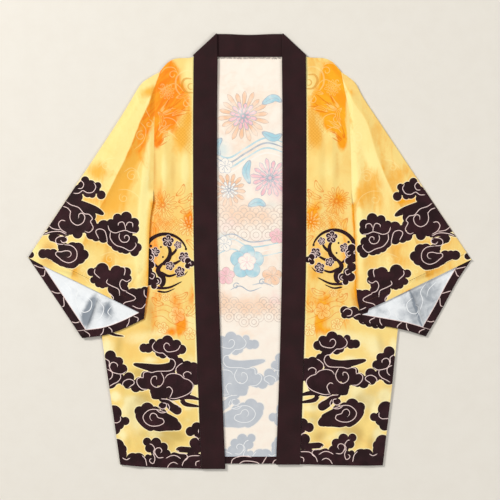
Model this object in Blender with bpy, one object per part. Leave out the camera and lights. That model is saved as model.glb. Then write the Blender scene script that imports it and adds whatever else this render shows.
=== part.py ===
"""Kimono jacket of light printed cloth, laid flat and open, sleeves folded down over its sides.

Metres, +Z up. The cloth lies on z = 0, +Y points to the neck and +X to the right hand side of the
wearer's front as drawn. The origin is the middle of the outline on the ground. Tables and named
sizes are in millimetres.
"""
import bpy
import bmesh
import numpy as np

MM = 0.001

# Driving dimensions
CLOTH = 1.2            # wall of one layer of cloth with its seams
BAND_CLOTH = 2.4       # doubled cloth of the collar band
SEAM_GAP = 0.3         # clear distance between two pieces at a seam
BAND_WIDTH = 42.0      # finished width of the band down the fronts
NECK_SEAM = 339.6      # lower edge of the band behind the neck
NECK_TOP = 379.6       # its upper edge
NECK_DIP = 1.6         # how far that stretch sags in the middle
CREASE_X = (98.0, 57.0)  # outer and inner end of the 45 degree fold at each side of the neck
CREASE_START = 340.4   # height of the fold's outer end
CREASE_LEAD = 10.0     # how far from the fold the band's sections start to turn
CREASE_RISE = (70.0, 20.0)  # where the fronts' runs climb onto the neck run, below the neck seam
BAND_ROUND = 0.5       # rounding of the band's long edges
BACK_HEM = -372.0      # lower edge of the back panel
TUBE_GAP = 0.8         # clear distance inside a flattened sleeve
ARMHOLE_GAP = 0.6      # clear distance between a sleeve and the body along the curved armhole
SHELF = 15.0           # how far a sleeve stays at body height past the body's edge
RISE = 60.0            # distance over which it then comes down to the ground
MOUTH_LIFT = 2.7       # how far the upper cuff edge stands open
CUFF_CREASE = 2.2      # height of the crease in the open lower cuff
CREASE_GROWTH = (6.0, 40.0)  # where it grows, past the upper cuff edge

# Levels of the layers, from the ground up
FRONT_LEVEL = CLOTH + SEAM_GAP
SLEEVE_LEVEL = FRONT_LEVEL + CLOTH + SEAM_GAP
TUBE_HEIGHT = 2.0 * CLOTH + TUBE_GAP
NECK_LEVEL = BAND_CLOTH + SEAM_GAP

# Fineness of the walls
ROWS_PER_STATION = 3
PANEL_COLUMNS = 12
BACK_COLUMNS = 4
SLEEVE_RINGS = 19
SLEEVE_COLUMNS = 14
FOLD_STEPS = 4
BAND_STEPS = 22
NECK_STEPS = 8
TURN_SHARES = (0.33, 0.66, 1.0)  # steps in which the band's sections turn to the fold
CURVE_STEPS = 24
EDGE_STEPS = 70

MATERIALS = {
    "back": ((0.90, 0.80, 0.70, 1.0), 0.75),
    "front_left": ((0.93, 0.72, 0.24, 1.0), 0.7),
    "front_right": ((0.93, 0.72, 0.24, 1.0), 0.7),
    "sleeve_left": ((0.90, 0.66, 0.22, 1.0), 0.7),
    "sleeve_right": ((0.90, 0.66, 0.22, 1.0), 0.7),
    "collar_band": ((0.035, 0.018, 0.020, 1.0), 0.8),
}

# One row for each station down the body. seam_y is the height on the band's seam, edge_x and
# edge_y the outer edge, bow how far the row arches towards its outer end. The outer edge is the
# armhole down to the underarm, and the side seam below it.
BODY_COLUMNS = ("seam_y", "edge_x", "edge_y", "bow")
BOW_SKEW = 1.5
BODY = {
    "left": {
        "shoulder": (339.5, -157.1, 313.3, 11.5),
        "yoke": (308.0, -163.2, 285.3, 6.0),
        "chest": (264.3, -166.3, 243.3, 3.0),
        "armhole": (189.0, -167.6, 176.8, 0.0),
        "underarm": (96.3, -169.3, 84.0, 0.0),
        "underarm_curve": (50.8, -213.1, 33.3, 0.0),
        "side_top": (1.8, -274.0, -19.3, 0.0),
        "waist": (-148.8, -258.6, -148.8, 0.0),
        "skirt": (-260.8, -243.0, -255.5, 0.0),
        "hem": (-381.0, -226.4, -373.6, -1.5),
    },
    "right": {
        "shoulder": (340.0, 159.7, 313.6, 11.5),
        "yoke": (308.0, 165.8, 281.8, 6.0),
        "chest": (264.3, 173.3, 243.3, 3.0),
        "armhole": (189.0, 176.5, 180.3, 0.0),
        "underarm": (92.8, 181.0, 80.5, 0.0),
        "underarm_curve": (47.3, 227.9, 33.3, 0.0),
        "side_top": (1.8, 271.7, -19.3, 0.0),
        "waist": (-138.3, 258.6, -139.1, 0.0),
        "skirt": (-243.3, 248.8, -235.4, 0.0),
        "hem": (-373.0, 232.7, -374.9, -1.0),
    },
}

# Middle line of each vertical run of the band, from the hem up: height, sideways place
BAND_MIDDLE = {
    "left": {"hem": (-381.1, -63.6), "hip": (-192.5, -70.9), "waist": (1.8, -76.8),
             "chest": (220.5, -78.0), "neck": (345.0, -77.0)},
    "right": {"hem": (-373.5, 66.8), "hip": (-192.5, 73.2), "waist": (1.8, 77.4),
              "chest": (220.5, 78.0), "neck": (345.0, 77.0)},
}

# Soft folds of the fronts. Each runs in a straight line from its top to its bottom.
FOLD_COLUMNS = ("top_x", "top_y", "bottom_x", "bottom_y", "half_width", "height")
FOLD_TAPER = 0.3       # share of a fold's length over which each end dies away
SEAM_FLAT = 0.12       # share of a front's width, beside the band, where the folds die away
FOLDS = {
    "left": [
        (-147.5, 250.0, -147.0, 60.0, 7.0, 2.2),
        (-124.0, 230.0, -123.0, 20.0, 9.0, 1.7),
        (-244.0, -175.0, -192.0, -400.0, 13.0, 2.6),
        (-190.0, -150.0, -140.0, -400.0, 15.0, 1.6),
    ],
    "right": [
        (143.0, 245.0, 146.0, 60.0, 7.5, 2.0),
        (121.0, 225.0, 120.0, 0.0, 10.0, 1.5),
        (238.0, -185.0, 190.0, -400.0, 14.0, 2.4),
        (172.0, -160.0, 140.0, -400.0, 14.0, 1.5),
    ],
}

# Outlines of each sleeve, as smooth curves through a few places. outer runs from the shoulder to
# the tip of the cuff, inner from the underarm to the cuff's inner end, cuff_upper along the top
# layer's edge, which ends part of the way down inner, and cuff_tip and cuff_under along the lower
# layer's edge, which turns at the lower corner. ridge is where the crease from the shoulder
# reaches the top layer's edge, and inner_share how much of inner the top layer covers.
SLEEVES = {
    "left": {
        "outer": [(-157.1, 313.3), (-173.2, 304.5), (-191.0, 290.7), (-211.3, 257.8),
                  (-244.6, 204.8), (-387.5, -11.4)],
        "inner": [(-169.3, 84.0), (-174.0, 56.0), (-176.3, 10.5), (-178.0, -61.3),
                  (-182.0, -92.8), (-184.7, -118.5)],
        "cuff_upper": [(-387.5, -11.4), (-351.3, -30.5), (-317.2, -46.4), (-266.4, -70.9),
                       (-184.0, -112.0)],
        "cuff_tip": [(-387.5, -11.4), (-360.0, -52.5), (-292.9, -152.3)],
        "cuff_under": [(-292.9, -152.3), (-253.3, -147.0), (-220.1, -135.5), (-184.7, -118.5)],
        "ridge": 0.36,
        "inner_share": 0.966,
    },
    "right": {
        "outer": [(159.7, 313.6), (172.5, 304.5), (185.4, 292.3), (199.9, 266.0),
                  (234.9, 213.5), (387.5, -15.0)],
        "inner": [(181.0, 80.5), (183.8, 31.5), (186.6, -68.3), (189.8, -94.5), (197.7, -125.0)],
        "cuff_upper": [(387.5, -15.0), (310.2, -52.5), (206.9, -101.5), (190.8, -99.0)],
        "cuff_tip": [(387.5, -15.0), (362.7, -52.5), (331.2, -110.3), (307.9, -149.3)],
        "cuff_under": [(307.9, -149.3), (267.7, -137.6), (197.7, -125.0)],
        "ridge": 0.30,
        "inner_share": 0.872,
    },
}
SHOULDER_SHARE = 0.05   # share of the armhole that the cloth above the ridge starts from
LAG_START = 0.7         # where along the sleeve the lower layer starts to run past the top one
RIDGE_COLUMN = 0.4      # where the ridge lies among a sleeve's columns
RIDGE_HALF_WIDTH = 0.09
RIDGE_HEIGHT = 3.4
RIDGE_START = 0.18      # share of the sleeve's length over which the ridge grows
RIDGE_LOSS = 0.35       # share of its height that it loses by the cuff
MOUTH_START = 0.72      # where along the sleeve the cuff starts to open
CORNER_COLUMN = 0.5     # where the lower cuff's corner lies among the columns
CREASE_HALF_WIDTH = 0.06


def smooth(low, high, value):
    """Ease from 0 at low to 1 at high."""
    share = np.clip((value - low) / (high - low), 0.0, 1.0)
    return share * share * (3.0 - 2.0 * share)


def eased(stations, values, at):
    """Read a smooth curve that never overshoots its stations, given in rising order."""
    x = np.asarray(stations, float)
    y = np.asarray(values, float)
    slope = np.diff(y) / np.diff(x)
    tangent = np.concatenate(([slope[0]], 0.5 * (slope[:-1] + slope[1:]), [slope[-1]]))
    turning = slope[:-1] * slope[1:] <= 0.0
    tangent[1:-1][turning] = 0.0
    limit = 3.0 * np.minimum(np.abs(slope[:-1]), np.abs(slope[1:]))
    tangent[1:-1] = np.clip(tangent[1:-1], -limit, limit)
    i = np.clip(np.searchsorted(x, at, side="right") - 1, 0, len(slope) - 1)
    width = x[i + 1] - x[i]
    t = (np.asarray(at, float) - x[i]) / width
    start = y[i] * (1 + 2 * t) * (1 - t) ** 2 + tangent[i] * width * t * (1 - t) ** 2
    end = y[i + 1] * t * t * (3 - 2 * t) + tangent[i + 1] * width * t * t * (t - 1)
    return start + end


def along(points, shares):
    """Places at the given shares of the length of a smooth curve through the points."""
    p = np.asarray(points, float)
    p = np.vstack((2 * p[0] - p[1], p, 2 * p[-1] - p[-2]))
    t = np.linspace(0.0, 1.0, CURVE_STEPS, endpoint=False)[:, None]
    dense = []
    for a, b, c, d in zip(p[:-3], p[1:-2], p[2:-1], p[3:]):
        curve = 2 * b + (c - a) * t + (2 * a - 5 * b + 4 * c - d) * t ** 2
        dense.append(0.5 * (curve + (3 * b - a - 3 * c + d) * t ** 3))
    dense = np.vstack(dense + [p[-2:-1]])
    reach = np.concatenate(([0.0], np.cumsum(np.linalg.norm(np.diff(dense, axis=0), axis=1))))
    wanted = np.asarray(shares, float) * reach[-1]
    return np.stack([np.interp(wanted, reach, dense[:, k]) for k in (0, 1)], axis=-1)


def band_edge(side, y, inner=False):
    """Sideways place of the band's outer or inner edge at a height."""
    rows = np.array(list(BAND_MIDDLE[side].values()))
    outward = -1.0 if side == "left" else 1.0
    half = -0.5 * BAND_WIDTH if inner else 0.5 * BAND_WIDTH
    return eased(rows[:, 0], rows[:, 1], y) + outward * half


def body_row(side, station, share):
    """A row of places from the band's seam (share 0) to the outer edge (share 1)."""
    table = np.array(list(BODY[side].values()))
    places = np.arange(len(table))
    row = {name: eased(places, table[:, k], station) for k, name in enumerate(BODY_COLUMNS)}
    outward = -1.0 if side == "left" else 1.0
    seam_x = band_edge(side, row["seam_y"]) + outward * SEAM_GAP
    arch = row["bow"] * np.sin(np.pi * share ** BOW_SKEW)
    x = seam_x + (row["edge_x"] - seam_x) * share
    y = row["seam_y"] + (row["edge_y"] - row["seam_y"]) * share + arch
    return x, y


def body_stations():
    """Stations down the body, a few for each row of its table."""
    last = len(BODY["left"]) - 1
    return np.linspace(0.0, last, last * ROWS_PER_STATION + 1)


def fold_height(side, x, y):
    """How far the folds of a front lift it at a place."""
    lift = np.zeros_like(x)
    for row in FOLDS[side]:
        fold = dict(zip(FOLD_COLUMNS, row))
        run_x = fold["bottom_x"] - fold["top_x"]
        run_y = fold["bottom_y"] - fold["top_y"]
        length = np.hypot(run_x, run_y)
        from_x, from_y = x - fold["top_x"], y - fold["top_y"]
        forward = (from_x * run_x + from_y * run_y) / length
        across = (from_x * run_y - from_y * run_x) / length
        taper = smooth(0.0, FOLD_TAPER * length, forward)
        taper = taper * smooth(0.0, FOLD_TAPER * length, length - forward)
        lift = lift + fold["height"] * taper * np.exp(-(across / fold["half_width"]) ** 2)
    return lift


def body_distance(side, x, y):
    """Distance from a place to the part of the body below the underarm, 0 on it."""
    names = list(BODY[side])
    stations = np.linspace(names.index("underarm"), len(names) - 1, EDGE_STEPS)
    edge_x, edge_y = body_row(side, stations, 1.0)
    ring = np.stack((np.append(edge_x, (0.0, 0.0)), np.append(edge_y, (edge_y[-1], edge_y[0]))), 1)
    place = np.stack((x, y), -1)[..., None, :]
    start = ring
    run = np.roll(ring, -1, axis=0) - start
    share = np.clip(((place - start) * run).sum(-1) / (run * run).sum(-1), 0.0, 1.0)
    distance = np.linalg.norm(place - start - share[..., None] * run, axis=-1).min(-1)
    above = place[..., 1] > start[:, 1]
    crosses = above != (place[..., 1] > start[:, 1] + run[:, 1])
    rise = np.where(run[:, 1] == 0.0, 1.0, run[:, 1])
    meets = start[:, 0] + (place[..., 1] - start[:, 1]) * run[:, 0] / rise
    inside = (crosses & (place[..., 0] < meets)).sum(-1) % 2 == 1
    return np.where(inside, 0.0, distance)


def sleeve_ground(side, x, y):
    """Height of what a sleeve lies on: the body, or the ground outside it."""
    return SLEEVE_LEVEL * (1.0 - smooth(SHELF, SHELF + RISE, body_distance(side, x, y)))


def normals_beside(curve, side_sign):
    """Sideways unit vectors along a curve of places."""
    run = np.gradient(curve, axis=0)
    run = run / np.linalg.norm(run, axis=1)[:, None]
    return side_sign * np.stack((run[:, 1], -run[:, 0]), axis=1)


def patch(armhole, cuff, outer, inner, columns, rings):
    """Places on a layer between its four edges, one row for each ring."""
    u = columns[None, :, None]
    v = rings[:, None, None]
    between = (1 - v) * armhole[None] + v * cuff[None]
    corners_outer = (1 - v) * armhole[0] + v * cuff[0]
    corners_inner = (1 - v) * armhole[-1] + v * cuff[-1]
    return between + (1 - u) * (outer[:, None] - corners_outer) + u * (inner[:, None] - corners_inner)


def sleeve_walls(side):
    """Outer and inner points of a sleeve tube, ring by ring from the armhole to the cuff."""
    cut = SLEEVES[side]
    outward = -1.0 if side == "left" else 1.0
    columns = np.linspace(0.0, 1.0, SLEEVE_COLUMNS + 1)
    rings = np.linspace(0.0, 1.0, SLEEVE_RINGS + 1)
    radius = 0.5 * TUBE_HEIGHT

    names = list(BODY[side])
    armhole_share = np.interp(columns, (0.0, RIDGE_COLUMN, 1.0), (0.0, SHOULDER_SHARE, 1.0))
    edge = np.stack(body_row(side, np.linspace(0.0, names.index("underarm"), EDGE_STEPS), 1.0), axis=1)
    armhole = along(edge, armhole_share)
    armhole[:, 0] += outward * ARMHOLE_GAP

    outer = along(cut["outer"], rings)
    outer_away = normals_beside(outer, -outward)
    covered = cut["inner_share"]
    inner_upper = along(cut["inner"], covered * rings)
    lag = (1.0 - covered) * smooth(LAG_START, 1.0, rings)
    inner_lower = along(cut["inner"], covered * rings + lag)
    inner_away = normals_beside(0.5 * (inner_upper + inner_lower), outward)
    seam_end = armhole[-1] - armhole[-2]
    inner_away[0] = seam_end / np.hypot(*seam_end)
    ridge_share = cut["ridge"]
    upper_share = np.interp(columns, (0.0, RIDGE_COLUMN, 1.0), (0.0, ridge_share, 1.0))
    cuff_upper = along(cut["cuff_upper"], upper_share)
    tip = along(cut["cuff_tip"], np.clip(columns / CORNER_COLUMN, 0.0, 1.0))
    under = along(cut["cuff_under"], np.clip((columns - CORNER_COLUMN) / (1 - CORNER_COLUMN), 0, 1))
    cuff_lower = np.where(columns[:, None] < CORNER_COLUMN, tip, under)

    inner_upper[0] = inner_lower[0] = armhole[-1]
    outer_in = outer - radius * outer_away
    outer_in[0] = armhole[0]
    upper = patch(armhole, cuff_upper, outer_in, inner_upper - radius * inner_away, columns, rings)
    lower = patch(armhole, cuff_lower, outer_in, inner_lower - radius * inner_away, columns, rings)

    spread = np.sin(np.pi * columns)[None, :]
    far = rings[:, None]
    lift = MOUTH_LIFT * spread * smooth(MOUTH_START, 1.0, far)
    crest = np.exp(-((columns - RIDGE_COLUMN) / RIDGE_HALF_WIDTH) ** 2)[None, :]
    lift = lift + RIDGE_HEIGHT * crest * smooth(0.0, RIDGE_START, far) * (1.0 - RIDGE_LOSS * far)
    upper_z = sleeve_ground(side, upper[..., 0], upper[..., 1]) + TUBE_HEIGHT + lift

    chord = cuff_upper[-1] - cuff_upper[0]
    across = np.array((chord[1], -chord[0])) / np.hypot(*chord)
    beyond = -outward * ((lower - cuff_upper[0]) @ across)
    pinch = np.exp(-((columns - CORNER_COLUMN) / CREASE_HALF_WIDTH) ** 2)[None, :]
    crease = CUFF_CREASE * pinch * smooth(*CREASE_GROWTH, beyond)
    lower_z = sleeve_ground(side, lower[..., 0], lower[..., 1]) + crease

    def fold(top, bottom, top_z, bottom_z, away, reach):
        """Points round a folded edge, top to bottom, between the two layers' own points."""
        points = []
        for step in range(1, FOLD_STEPS):
            turn = 0.5 * np.pi - np.pi * step / FOLD_STEPS
            share = 0.5 + 0.5 * np.sin(turn)
            place = bottom + share * (top - bottom) + reach * np.cos(turn) * away
            middle = 0.5 * (top_z + bottom_z)
            height = middle + reach * np.sin(turn)
            points.append(np.column_stack((place, height)))
        return points

    walls = []
    for inset, reach in ((0.0, radius), (CLOTH, radius - CLOTH)):
        top = np.dstack((upper, upper_z - inset))
        bottom = np.dstack((lower, lower_z + inset))
        inner_fold = fold(upper[:, -1], lower[:, -1], upper_z[:, -1], lower_z[:, -1],
                          inner_away, reach)
        outer_fold = fold(upper[:, 0], lower[:, 0], upper_z[:, 0], lower_z[:, 0],
                          outer_away, reach)
        parts = [top] + [p[:, None] for p in inner_fold] + [bottom[:, ::-1]]
        parts += [p[:, None] for p in outer_fold[::-1]]
        walls.append(np.concatenate(parts, axis=1))
    return walls


def add_object(name, mesh_builder):
    """Make a named object from a bmesh, with its own material."""
    mesh = bpy.data.meshes.new(name)
    bmesh.ops.recalc_face_normals(mesh_builder, faces=mesh_builder.faces)
    if mesh_builder.calc_volume(signed=True) < 0.0:
        bmesh.ops.reverse_faces(mesh_builder, faces=mesh_builder.faces)
    mesh_builder.to_mesh(mesh)
    mesh_builder.free()
    mesh.shade_smooth()
    mesh.set_sharp_from_angle(angle=np.radians(40.0))
    colour, roughness = MATERIALS[name]
    material = bpy.data.materials.new(name)
    material.use_nodes = True
    shader = material.node_tree.nodes["Principled BSDF"]
    shader.inputs["Base Color"].default_value = colour
    shader.inputs["Roughness"].default_value = roughness
    mesh.materials.append(material)
    return bpy.data.objects.new(name, mesh)


def wall(name, outer, inner, wrap):
    """A closed wall between two grids of points, open at both ends where its columns wrap."""
    build = bmesh.new()
    rows, columns = outer.shape[:2]
    out = [[build.verts.new(p * MM) for p in row] for row in outer]
    inn = [[build.verts.new(p * MM) for p in row] for row in inner]
    last = columns if wrap else columns - 1
    for i in range(rows - 1):
        for j in range(last):
            k = (j + 1) % columns
            build.faces.new((out[i][j], out[i][k], out[i + 1][k], out[i + 1][j]))
            build.faces.new((inn[i][j], inn[i + 1][j], inn[i + 1][k], inn[i][k]))
    for i in (0, rows - 1):
        for j in range(last):
            k = (j + 1) % columns
            build.faces.new((out[i][j], inn[i][j], inn[i][k], out[i][k]))
    if not wrap:
        for i in range(rows - 1):
            for j in (0, columns - 1):
                build.faces.new((out[i][j], out[i + 1][j], inn[i + 1][j], inn[i][j]))
    return add_object(name, build)


def make_front(side):
    """A front panel, flat where a sleeve lies on it and with soft folds elsewhere."""
    station = body_stations()[:, None]
    share = np.linspace(0.0, 1.0, PANEL_COLUMNS + 1)[None, :]
    x, y = body_row(side, station, share)
    lift = fold_height(side, x, y) * smooth(0.0, SEAM_FLAT, share)
    under = FRONT_LEVEL + lift
    return wall("front_" + side, np.dstack((x, y, under + CLOTH)), np.dstack((x, y, under)), False)


def make_back():
    """The back panel, flat on the ground from the neck seam to the hem."""
    station = body_stations()[:, None]
    share = np.linspace(0.0, 1.0, BACK_COLUMNS + 1)[None, :]
    left_x, left_y = body_row("left", station, share)
    right_x, right_y = body_row("right", station, share)
    middle = np.linspace(0.0, 1.0, BACK_COLUMNS)[None, 1:-1]
    seam_x = left_x[:, :1] + middle * (right_x[:, :1] - left_x[:, :1])
    seam_y = left_y[:, :1] + middle * (right_y[:, :1] - left_y[:, :1])
    x = np.hstack((left_x[:, ::-1], seam_x, right_x))
    y = np.hstack((left_y[:, ::-1], seam_y, right_y))
    y[0] = np.minimum(y[0], NECK_SEAM - SEAM_GAP)
    y = np.maximum(y, BACK_HEM)
    flat = np.zeros_like(x)
    return wall("back", np.dstack((x, y, flat + CLOTH)), np.dstack((x, y, flat)), False)


def band_sections():
    """Sections across the band from the left hem, round the neck, to the right hem.

    Each is its outer edge, its inner edge, the height of its middle and the direction in which
    its right side faces.
    """
    up = np.array((0.0, 0.0, 1.0))
    low_middle = 0.5 * BAND_CLOTH
    turn_radius = 0.5 * NECK_LEVEL
    runs = {}
    for side, outward in (("left", -1.0), ("right", 1.0)):
        rows = np.array(list(BAND_MIDDLE[side].values()))
        top = NECK_SEAM - CREASE_LEAD
        run = []
        for y in np.linspace(rows[0, 0], top, BAND_STEPS + 1):
            rise = smooth(NECK_SEAM - CREASE_RISE[0], NECK_SEAM - CREASE_RISE[1], y)
            height = FRONT_LEVEL + rise * (NECK_LEVEL - FRONT_LEVEL) + low_middle
            edges = (band_edge(side, y), band_edge(side, y, inner=True))
            run.append((np.array((edges[0], y)), np.array((edges[1], y)), height, up))
        crease = (np.array((outward * CREASE_X[0], CREASE_START)),
                  np.array((outward * CREASE_X[1], NECK_TOP)))
        start = run[-1]
        for share in TURN_SHARES:
            run.append((start[0] + share * (crease[0] - start[0]),
                        start[1] + share * (crease[1] - start[1]), start[2], up))
        away = np.array((crease[0][1] - crease[1][1], crease[1][0] - crease[0][0]))
        away = away / np.hypot(*away)
        away = away if away[1] > 0.0 else -away
        for step in range(1, FOLD_STEPS + 1):
            turn = 0.5 * np.pi - np.pi * step / FOLD_STEPS
            shift = turn_radius * np.cos(turn) * away
            height = low_middle + turn_radius * (1.0 + np.sin(turn))
            facing = np.append(away * np.cos(turn), np.sin(turn))
            run.append((crease[0] + shift, crease[1] + shift, height, facing))
        flat_x = outward * (CREASE_X[1] - CREASE_LEAD)
        for share in TURN_SHARES:
            run.append((crease[0] + share * (np.array((flat_x, NECK_SEAM)) - crease[0]),
                        crease[1] + share * (np.array((flat_x, NECK_TOP)) - crease[1]),
                        low_middle, -up))
        runs[side] = run
    reach = CREASE_X[1] - CREASE_LEAD
    middle = []
    for x in np.linspace(-reach, reach, NECK_STEPS)[1:-1]:
        dip = NECK_DIP * np.cos(0.5 * np.pi * x / reach) ** 2
        middle.append((np.array((x, NECK_SEAM)), np.array((x, NECK_TOP - dip)), low_middle, -up))
    return runs["left"] + middle + runs["right"][::-1]


def make_band():
    """The collar band: one doubled strip, folded over itself at both sides of the neck."""
    half = 0.5 * BAND_CLOTH
    high = half - BAND_ROUND
    build = bmesh.new()
    rings = []
    for outer, inner, height, facing in band_sections():
        across = np.append(inner - outer, 0.0)
        width = np.linalg.norm(across)
        across = across / width
        start = np.append(outer, height)
        ring = []
        near, far = BAND_ROUND, width - BAND_ROUND
        for offset, level in ((0.0, -high), (0.0, high), (near, half), (far, half),
                              (width, high), (width, -high), (far, -half), (near, -half)):
            ring.append(build.verts.new((start + across * offset + facing * level) * MM))
        rings.append(ring)
    for near, far in zip(rings[:-1], rings[1:]):
        for j in range(len(near)):
            k = (j + 1) % len(near)
            build.faces.new((near[j], near[k], far[k], far[j]))
    build.faces.new(rings[0])
    build.faces.new(rings[-1][::-1])
    return add_object("collar_band", build)


def main():
    for old in list(bpy.data.objects):
        bpy.data.objects.remove(old, do_unlink=True)
    parts = bpy.data.collections.new("kimono_jacket")
    bpy.context.scene.collection.children.link(parts)
    made = [make_back(), make_front("left"), make_front("right"), make_band()]
    for side in ("left", "right"):
        outer, inner = sleeve_walls(side)
        made.append(wall("sleeve_" + side, outer, inner, True))
    for part in made:
        parts.objects.link(part)


main()
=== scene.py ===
"""Kimono jacket laid flat: printed cloth, collar band and sewing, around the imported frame.

Named sizes and tables are in millimetres unless their name says otherwise. Places of printed
motifs are pixels of the reference photograph, turned to millimetres by Print.place().
"""

import bpy
import numpy as np
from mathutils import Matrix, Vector
from mathutils.geometry import delaunay_2d_cdt


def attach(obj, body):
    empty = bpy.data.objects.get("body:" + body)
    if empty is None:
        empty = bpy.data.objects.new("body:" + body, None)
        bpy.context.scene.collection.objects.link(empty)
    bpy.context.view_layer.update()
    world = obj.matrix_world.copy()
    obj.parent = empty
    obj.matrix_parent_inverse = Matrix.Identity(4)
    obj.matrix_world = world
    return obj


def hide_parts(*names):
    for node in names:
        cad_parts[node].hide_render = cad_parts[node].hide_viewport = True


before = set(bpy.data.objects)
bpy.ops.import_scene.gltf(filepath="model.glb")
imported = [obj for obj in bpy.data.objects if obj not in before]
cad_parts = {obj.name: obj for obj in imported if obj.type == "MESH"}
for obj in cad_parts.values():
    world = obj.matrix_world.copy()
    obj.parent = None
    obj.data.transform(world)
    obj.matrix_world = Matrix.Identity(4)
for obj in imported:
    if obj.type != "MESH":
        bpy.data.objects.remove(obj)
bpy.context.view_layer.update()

MM = 0.001
PIXEL = 1.75                     # size of a pixel of the photograph on the cloth
PIXEL_CENTRE = (249.75, 251.0)   # the pixel over the frame's origin

# Layers, as in the solids
CLOTH = 1.2
BAND_CLOTH = 2.4
SEAM_GAP = 0.3
BAND_WIDTH = 42.0
NECK_SEAM = 339.6      # lower edge of the band's neck piece, its upper edge, and that edge's dip
NECK_TOP = 379.6
NECK_DIP = 1.6
CREASE_X = (98.0, 57.0)        # how far out the band turns over beside the neck, at its two edges
CREASE_START = 340.4
CREASE_LEAD = 10.0     # cloth left flat beside that turn
CREASE_RISE = (70.0, 20.0)     # how far below the neck the band starts and stops to rise
BACK_HEM = -372.0
TUBE_GAP = 0.8         # air between a sleeve's two layers
ARMHOLE_GAP = 0.05
SHELF = 15.0           # a sleeve keeps its level this far beyond the body, then comes down
RISE = 60.0
FRONT_LEVEL = CLOTH + SEAM_GAP
SLEEVE_LEVEL = FRONT_LEVEL + CLOTH + SEAM_GAP
TUBE_HEIGHT = 2.0 * CLOTH + TUBE_GAP
NECK_LEVEL = BAND_CLOTH + SEAM_GAP

# Spacing of places
GRID = 3.2             # inside a printed sheet
PLAIN_GRID = 9.0       # the same where nothing shows
OUTLINE_STEP = 2.6
GUIDE_STEP = 12.0      # along lines that only guide a height or a tone
RIDGE_STEP = 3.0
STROKE_STEP = 2.4
FINE_STEP = 2.2
VEIN_STEP = 1.8
BODY_STEPS = 280       # places down a side of the body
CLEARANCE = 0.8        # how far the inner points stay from an outline
EDGE_ROWS = (0.8, 1.6)         # how deep the rows of points along an edge are
SAME_PLACE = 0.05      # places nearer than this are one

# Finish of the cloth
HEM_WIDTH = 12.5       # turned hem of the back
CUFF_HEM = 14.0        # turned hem of the cuffs
HEM_STEP = 0.45        # how far a turned hem stands up
SEAM_DIP = 0.25        # how far the cloth dips into a seam, and how far from it the dip starts
SEAM_REACH = 1.2
CREASE_EASE = 16.0     # creases die out this near a fold or a seam
SEAM_EASE = 9.0        # and this near an armhole
SEWN_REACH = 26.0      # this near an armhole a sleeve stays down on what is beside the front
SEWN_EASE = 28.0
SETTLE_REACH = 24.0    # this near an armhole a sleeve comes down to the level of the front
SETTLE_GROUND = 0.9    # where what it lies on is lower than this
MOUTH_EASE = 70.0      # the open mouth of a sleeve closes this near a fold
LINING_START = -14.0   # the cuff's lining is busy from this far above the upper cuff's line
LINING_CREASES = (-4.0, 14.0)  # and its creases grow between these
FOLD_SHARE = 0.35      # how much of a sleeve's rounded fold shows in its shading
SLIVER = 0.05          # half the air left in the fold of a sleeve

FRONT_SHIFT = (0.0, -4.0)   # pixels by which the right half of the print stands off the left
SLEEVE_SHIFT = (-1.0, 1.5)
BACK_SHIFT = (-101.0, -3.5)

SIDES = {"left": -1.0, "right": 1.0}
BODY_COLUMNS = ("seam_y", "edge_x", "edge_y", "bow")
BOW_SKEW = 1.5         # how far a row's bow leans to the outer edge
BODY = {
    "left": {
        "shoulder": (339.5, -157.1, 313.3, 11.5),
        "yoke": (308, -163.2, 285.3, 6),
        "chest": (264.3, -166.3, 243.3, 3),
        "armhole": (189, -167.6, 176.8, 0),
        "underarm": (96.3, -169.3, 84, 0),
        "underarm_curve": (50.8, -213.1, 33.3, 0),
        "side_top": (1.8, -274, -19.3, 0),
        "waist": (-148.8, -258.6, -148.8, 0),
        "skirt": (-260.8, -243, -255.5, 0),
        "hem": (-381, -226.4, -373.6, -1.5),
    },
    "right": {
        "shoulder": (340, 159.7, 313.6, 11.5),
        "yoke": (308, 165.8, 281.8, 6),
        "chest": (264.3, 173.3, 243.3, 3),
        "armhole": (189, 176.5, 180.3, 0),
        "underarm": (92.8, 181, 80.5, 0),
        "underarm_curve": (47.3, 227.9, 33.3, 0),
        "side_top": (1.8, 271.7, -19.3, 0),
        "waist": (-138.3, 258.6, -139.1, 0),
        "skirt": (-243.3, 248.8, -235.4, 0),
        "hem": (-373, 232.7, -374.9, -1),
    },
}
BAND_MIDDLE = {
    "left": {"hem": (-381.1, -63.6), "hip": (-192.5, -70.9), "waist": (1.8, -76.8),
             "chest": (220.5, -78), "neck": (345, -77)},
    "right": {"hem": (-373.5, 66.8), "hip": (-192.5, 73.2), "waist": (1.8, 77.4),
              "chest": (220.5, 78), "neck": (345, 77)},
}
SLEEVES = {
    "left": {
        "outer": [-157.1, 313.3, -173.2, 304.5, -191, 290.7, -211.3, 257.8, -244.6, 204.8, -387.5,
            -11.4],
        "inner": [-169.3, 84, -174, 56, -176.3, 10.5, -178, -61.3, -182, -92.8, -184.7, -118.5],
        "cuff_upper": [-387.5, -11.4, -351.3, -30.5, -317.2, -46.4, -266.4, -70.9, -184, -112],
        "cuff_tip": [-387.5, -11.4, -360, -52.5, -292.9, -152.3],
        "cuff_under": [-292.9, -152.3, -253.3, -147, -220.1, -135.5, -184.7, -118.5],
        "inner_share": 0.966,
    },
    "right": {
        "outer": [159.7, 313.6, 172.5, 304.5, 185.4, 292.3, 199.9, 266, 234.9, 213.5, 387.5, -15],
        "inner": [181, 80.5, 183.8, 31.5, 186.6, -68.3, 189.8, -94.5, 197.7, -125],
        "cuff_upper": [387.5, -15, 310.2, -52.5, 206.9, -101.5, 190.8, -99],
        "cuff_tip": [387.5, -15, 362.7, -52.5, 331.2, -110.3, 307.9, -149.3],
        "cuff_under": [307.9, -149.3, 267.7, -137.6, 197.7, -125],
        "inner_share": 0.872,
    },
}

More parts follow.
